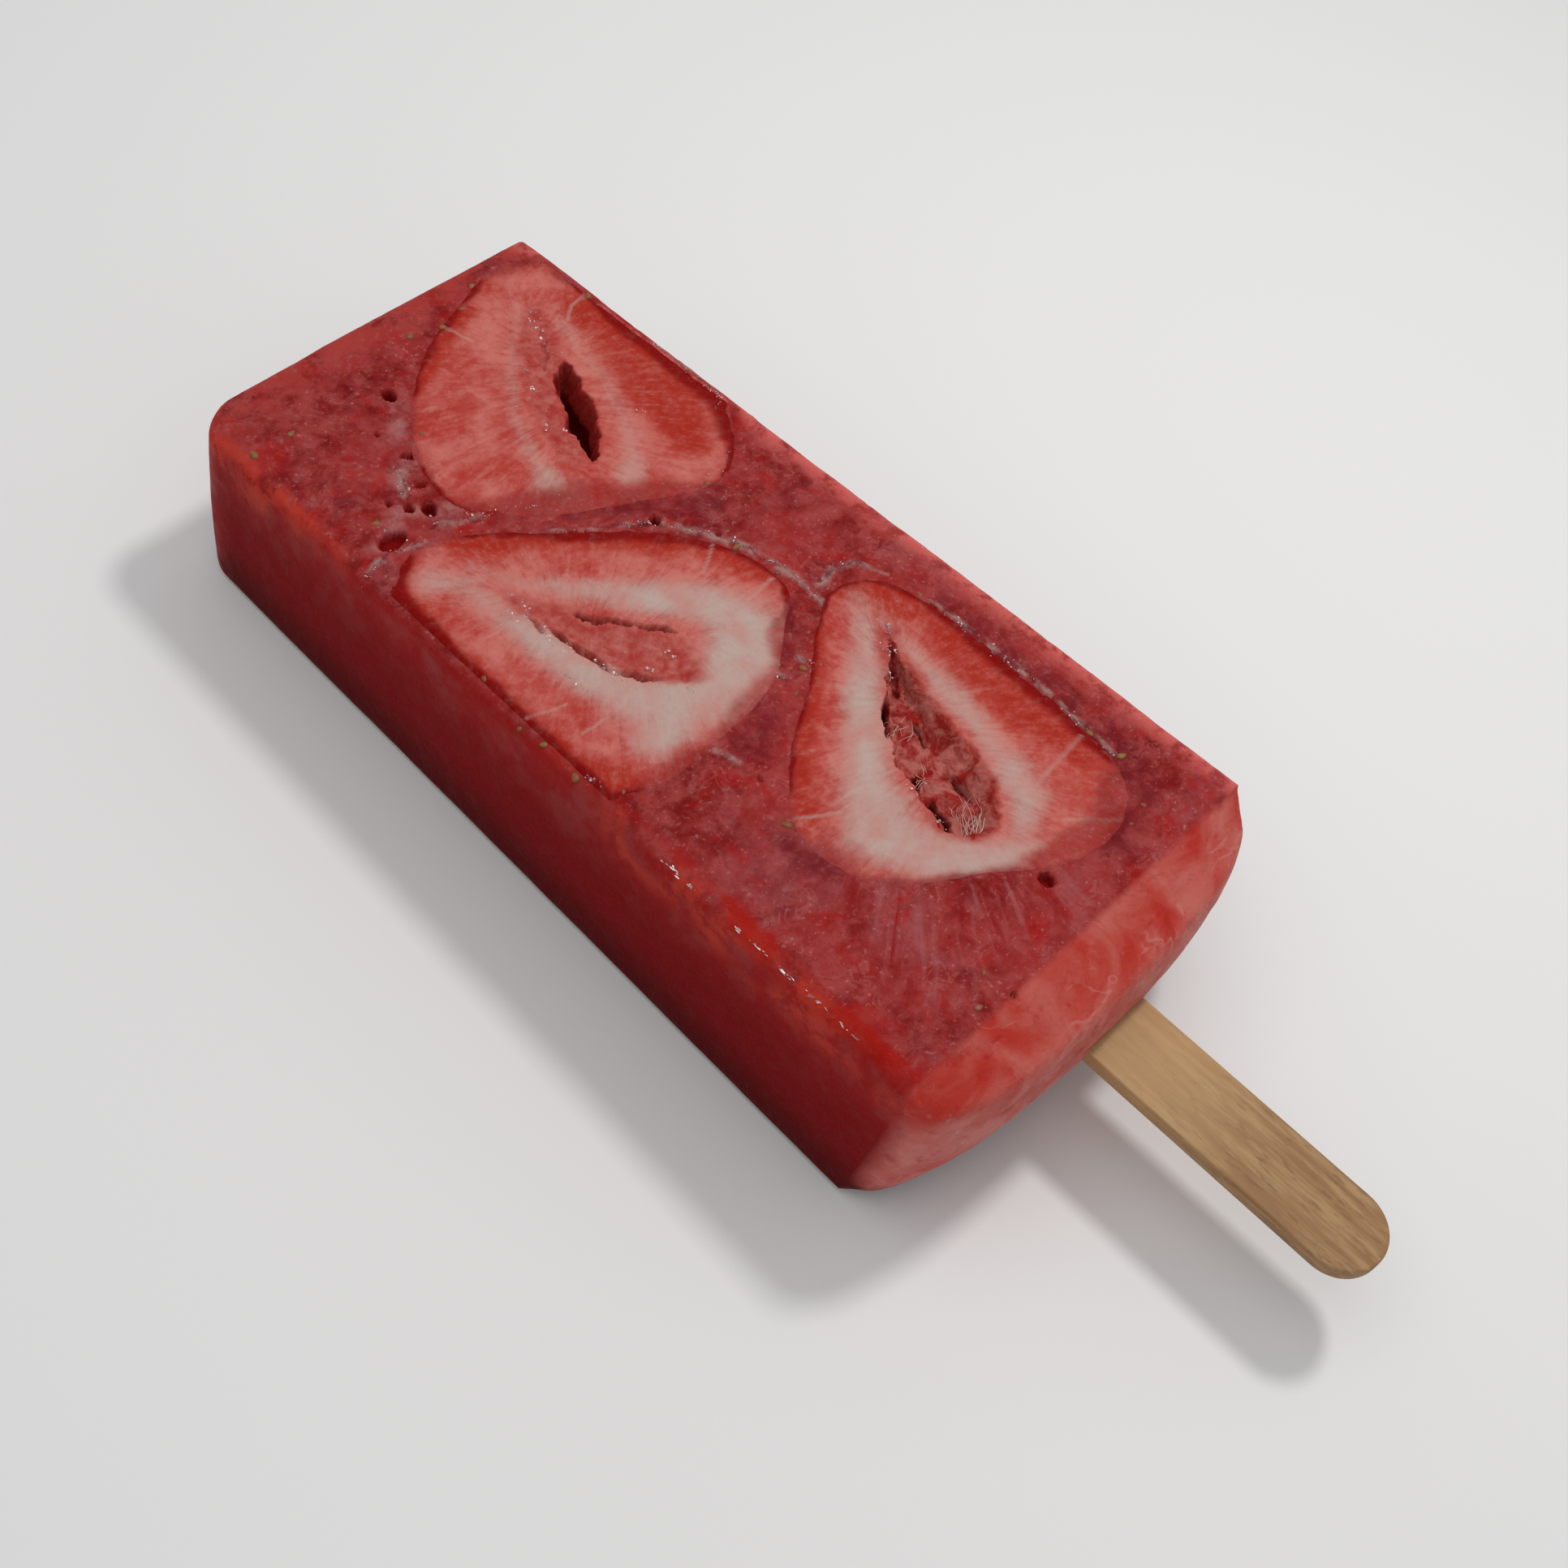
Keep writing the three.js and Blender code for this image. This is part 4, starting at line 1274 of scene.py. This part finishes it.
crystals = {
    "perMm": 4,
    "size": (0.04, 0.11),
    "glintSize": (0.06, 0.19),
    "lift": 0.10,
    "clump": 0.15,      # noise above which they grow
    "glints": [     # white specks painted as wet glints on the fruit: x, y, reach, count
        (-14.1, 65.1, 0.5, 7), (-16.0, 63.9, 0.5, 6), (-15.0, 62.5, 0.4, 7), (-14.6, 60.6, 0.5, 9),
        (-15.3, 58.6, 0.6, 10), (-14.3, 57.0, 0.4, 6), (-13.6, 53.4, 0.5, 8), (-12.9, 51.2, 0.5, 8),
        (-10.1, 49.8, 0.4, 5), (-7.0, 49.8, 0.4, 4), (-8.9, 45.4, 0.4, 5), (-17.0, 54.5, 0.3, 4),
        (-9.2, 68.5, 0.3, 3), (-24.0, 43.6, 0.5, 7), (10.6, 36.2, 0.5, 10), (11.4, 35.5, 0.4, 8),
        (13.2, 38.3, 0.4, 6), (12.7, 37.0, 0.4, 5), (-0.5, 21.6, 0.5, 7), (5.4, 33.1, 0.5, 8),
        (0.7, 22.0, 0.4, 5), (-1.4, 17.4, 0.4, 6), (8.8, 33.8, 0.5, 5), (9.2, 89.9, 0.3, 4),
        (7.8, 87.0, 0.3, 4), (14.8, 93.2, 0.4, 7), (14.0, 91.0, 0.5, 7), (13.0, 89.2, 0.4, 6),
        (16.2, 95.8, 0.4, 6), (15.2, 94.6, 0.3, 4), (14.9, 76.9, 0.5, 5), (5.2, 81.6, 0.4, 4),
        (6.2, 80.0, 0.3, 3), (-18.6, 80.6, 0.7, 10), (-17.6, 78.6, 0.5, 8), (-11.6, 86.8, 0.5, 5),
        (-12.6, 84.2, 0.4, 5), (-13.6, 79.0, 0.5, 6), (-10.2, 77.4, 0.4, 5),
    ],
    "edgeGlints": [    # white streaks painted as glints of the wet line along the left edge: x, y, reach
        (-25.0, 31, 0.1), (-25.1, 28.5, 0.1), (-25.2, 22, 0.16), (-25.2, 19.5, 0.1), (-25.3, 16, 0.16),
        (-25.3, 12.5, 0.16), (-25.4, 8, 0.1),
    ],
    "edgeCount": 7,
    "edgeLength": 4.0,  # how many times longer the crystals there are
    # the white is frost on the seams and painted highlight in the glint specks
    "tones": ("a9888c", "f0eae8"),
}


def frostAndGlintSpots(rng):  # x, y, size and lift of each frost crystal and painted glint speck, and how many come before the drawn-out ones
    spots = []
    for run in marks["frost"]:
        for (ax, ay, aw), (bx, by, bw) in zip(run[:-1], run[1:]):
            count = int(math.hypot(bx - ax, by - ay) * crystals["perMm"] * (0.5 + aw + bw))
            for _ in range(count):
                share = rng.random()
                wide = lerp(aw, bw, share)
                x = lerp(ax, bx, share) + rng.gauss(0, 0.8) * wide
                y = lerp(ay, by, share) + rng.gauss(0, 0.8) * wide
                size, lift = rng.uniform(*crystals["size"]), crystals["lift"] * rng.random()
                if waves(np.array([[x, y, 0.0]]), 1.3, 61)[0] > -crystals["clump"]:
                    spots.append((x, y, size, lift))
    for x, y, reach, count in crystals["glints"]:
        for _ in range(count):
            spots.append((x + rng.gauss(0, 0.5) * reach, y + rng.gauss(0, 0.9) * (reach + 0.3),
                          rng.uniform(*crystals["glintSize"]), 0.03))
    plain = len(spots)
    for x, y, reach in crystals["edgeGlints"]:
        for _ in range(crystals["edgeCount"]):
            away = rng.gauss(0, 0.5) * reach
            spots.append((x + away, y + rng.gauss(0, 0.9), rng.uniform(*crystals["size"]), 0.0))
    return spots, plain


def makeFrostAndGlints():
    rng = random.Random(13)
    spots, plain = frostAndGlintSpots(rng)
    pit, _ = pitDepth(np.array([spot[:2] for spot in spots]), marks["pits"])
    drawnOut = [at >= plain for at, depth in enumerate(pit) if depth < 0.1]
    spots = [spot for spot, depth in zip(spots, pit) if depth < 0.1]
    bm = bmesh.new()
    bmesh.ops.create_icosphere(bm, subdivisions=1, radius=1)
    places = [(x, y, lieAt(x, y) + lift) for x, y, _, lift in spots]
    scales = [[spot[2] * rng.uniform(0.5, 1.4) for _ in range(3)] for spot in spots]
    scales = [(0.8 * x, crystals["edgeLength"] * y, 0.6 * z) if long else (x, y, z)
              for (x, y, z), long in zip(scales, drawnOut)]
    turns = [(0, 0, rng.gauss(0, 0.15)) if long else [rng.uniform(0, 2 * math.pi) for _ in range(3)]
             for long in drawnOut]
    turns = [Euler(turn) for turn in turns]
    rough = np.random.default_rng(17).uniform(0.6, 1.15, (len(spots), len(bm.verts), 1))
    mesh = placedCopies(bm, "frost_and_glint_crystals", places, scales, turns, rough)
    material, tree, shader = startMaterial("frost and glint crystal")
    clear, white = (tone(code) for code in crystals["tones"])
    speckle = shape(tree, noiseAt(tree, placeIn(tree), 0.9, 3, 0.6), 0.46, 0.6)
    tree.links.new(tint(tree, speckle, clear, white), shader.inputs["Base Color"])
    shader.inputs["Roughness"].default_value = 0.12
    shader.inputs["IOR"].default_value = 1.45
    addPiece("frost_and_glint_crystals", mesh, material, "frost")
    mesh.polygons.foreach_set("use_smooth", [False] * len(mesh.polygons))


stick = {
    "segments": 64,         # round the outline
    "bevel": 0.3,           # mm
    "dark": "8e663e",
    "pale": "a8855a",
    "fleck": "74502f",
    "damp": "bd9767",       # near the ice
    "dampRun": (12, 30),    # mm from the stick's tip, where the damp sets in
}


def makeStick():
    low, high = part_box("stick")
    radius = (high.x - low.x) / 2
    bm = bmesh.new()
    bmesh.ops.create_circle(bm, cap_ends=True, radius=radius, segments=stick["segments"])
    for vert in bm.verts:
        if vert.co.y > 1e-6:
            vert.co.y += (high.y - low.y) - 2 * radius
    bmesh.ops.translate(bm, verts=bm.verts[:], vec=((low.x + high.x) / 2, low.y + radius, low.z))
    sides = bmesh.ops.extrude_face_region(bm, geom=bm.faces[:])
    lifted = [v for v in sides["geom"] if isinstance(v, bmesh.types.BMVert)]
    bmesh.ops.translate(bm, verts=lifted, vec=(0, 0, high.z - low.z))
    bmesh.ops.recalc_face_normals(bm, faces=bm.faces[:])
    rim = [e for e in bm.edges if abs(e.verts[0].co.z - e.verts[1].co.z) < 1e-9]
    bmesh.ops.bevel(bm, geom=rim, offset=stick["bevel"] * mm, affect="EDGES", segments=3, profile=0.5,
                    material=-1)
    material, tree, shader = startMaterial("birch")
    grain = noiseAt(tree, placeIn(tree, (1000, 90, 1000)), 1.4, 5, 0.6, 0.3)
    colour = tint(tree, shape(tree, grain, 0.35, 0.7), tone(stick["dark"]), tone(stick["pale"]))
    fleck = noiseAt(tree, placeIn(tree, (1000, 240, 1000)), 1.8, 3, 0.6)
    colour = tint(tree, shape(tree, fleck, 0.54, 0.68, 0, 0.6), colour, tone(stick["fleck"]))
    where = addNode(tree, "TexCoord").outputs["Object"]
    reach = addNode(tree, "SeparateXYZ", {"Vector": where}).outputs[1]
    start, end = (low.y + run * mm for run in stick["dampRun"])
    colour = tint(tree, shape(tree, reach, start, end, 0, 0.6), colour, tone(stick["damp"]))
    tree.links.new(colour, shader.inputs["Base Color"])
    shader.inputs["Roughness"].default_value = 0.65
    addBump(tree, shader, grain, 0.3, 0.0002)
    addPiece("wooden_stick", meshFrom(bm, "wooden_stick"), material, "stick_wood", "stick")


makeCamera()
makeLight()
makeFloor()
makeSlab(pureeMaterial())
cutFlesh = fleshMaterial()
for node, berry in berries.items():
    makeBerry(node, berry, cutFlesh)
makeStick()
makeSeeds()
makeFibres()
makeFrostAndGlints()

bpy.context.scene.view_settings.view_transform = "Standard"
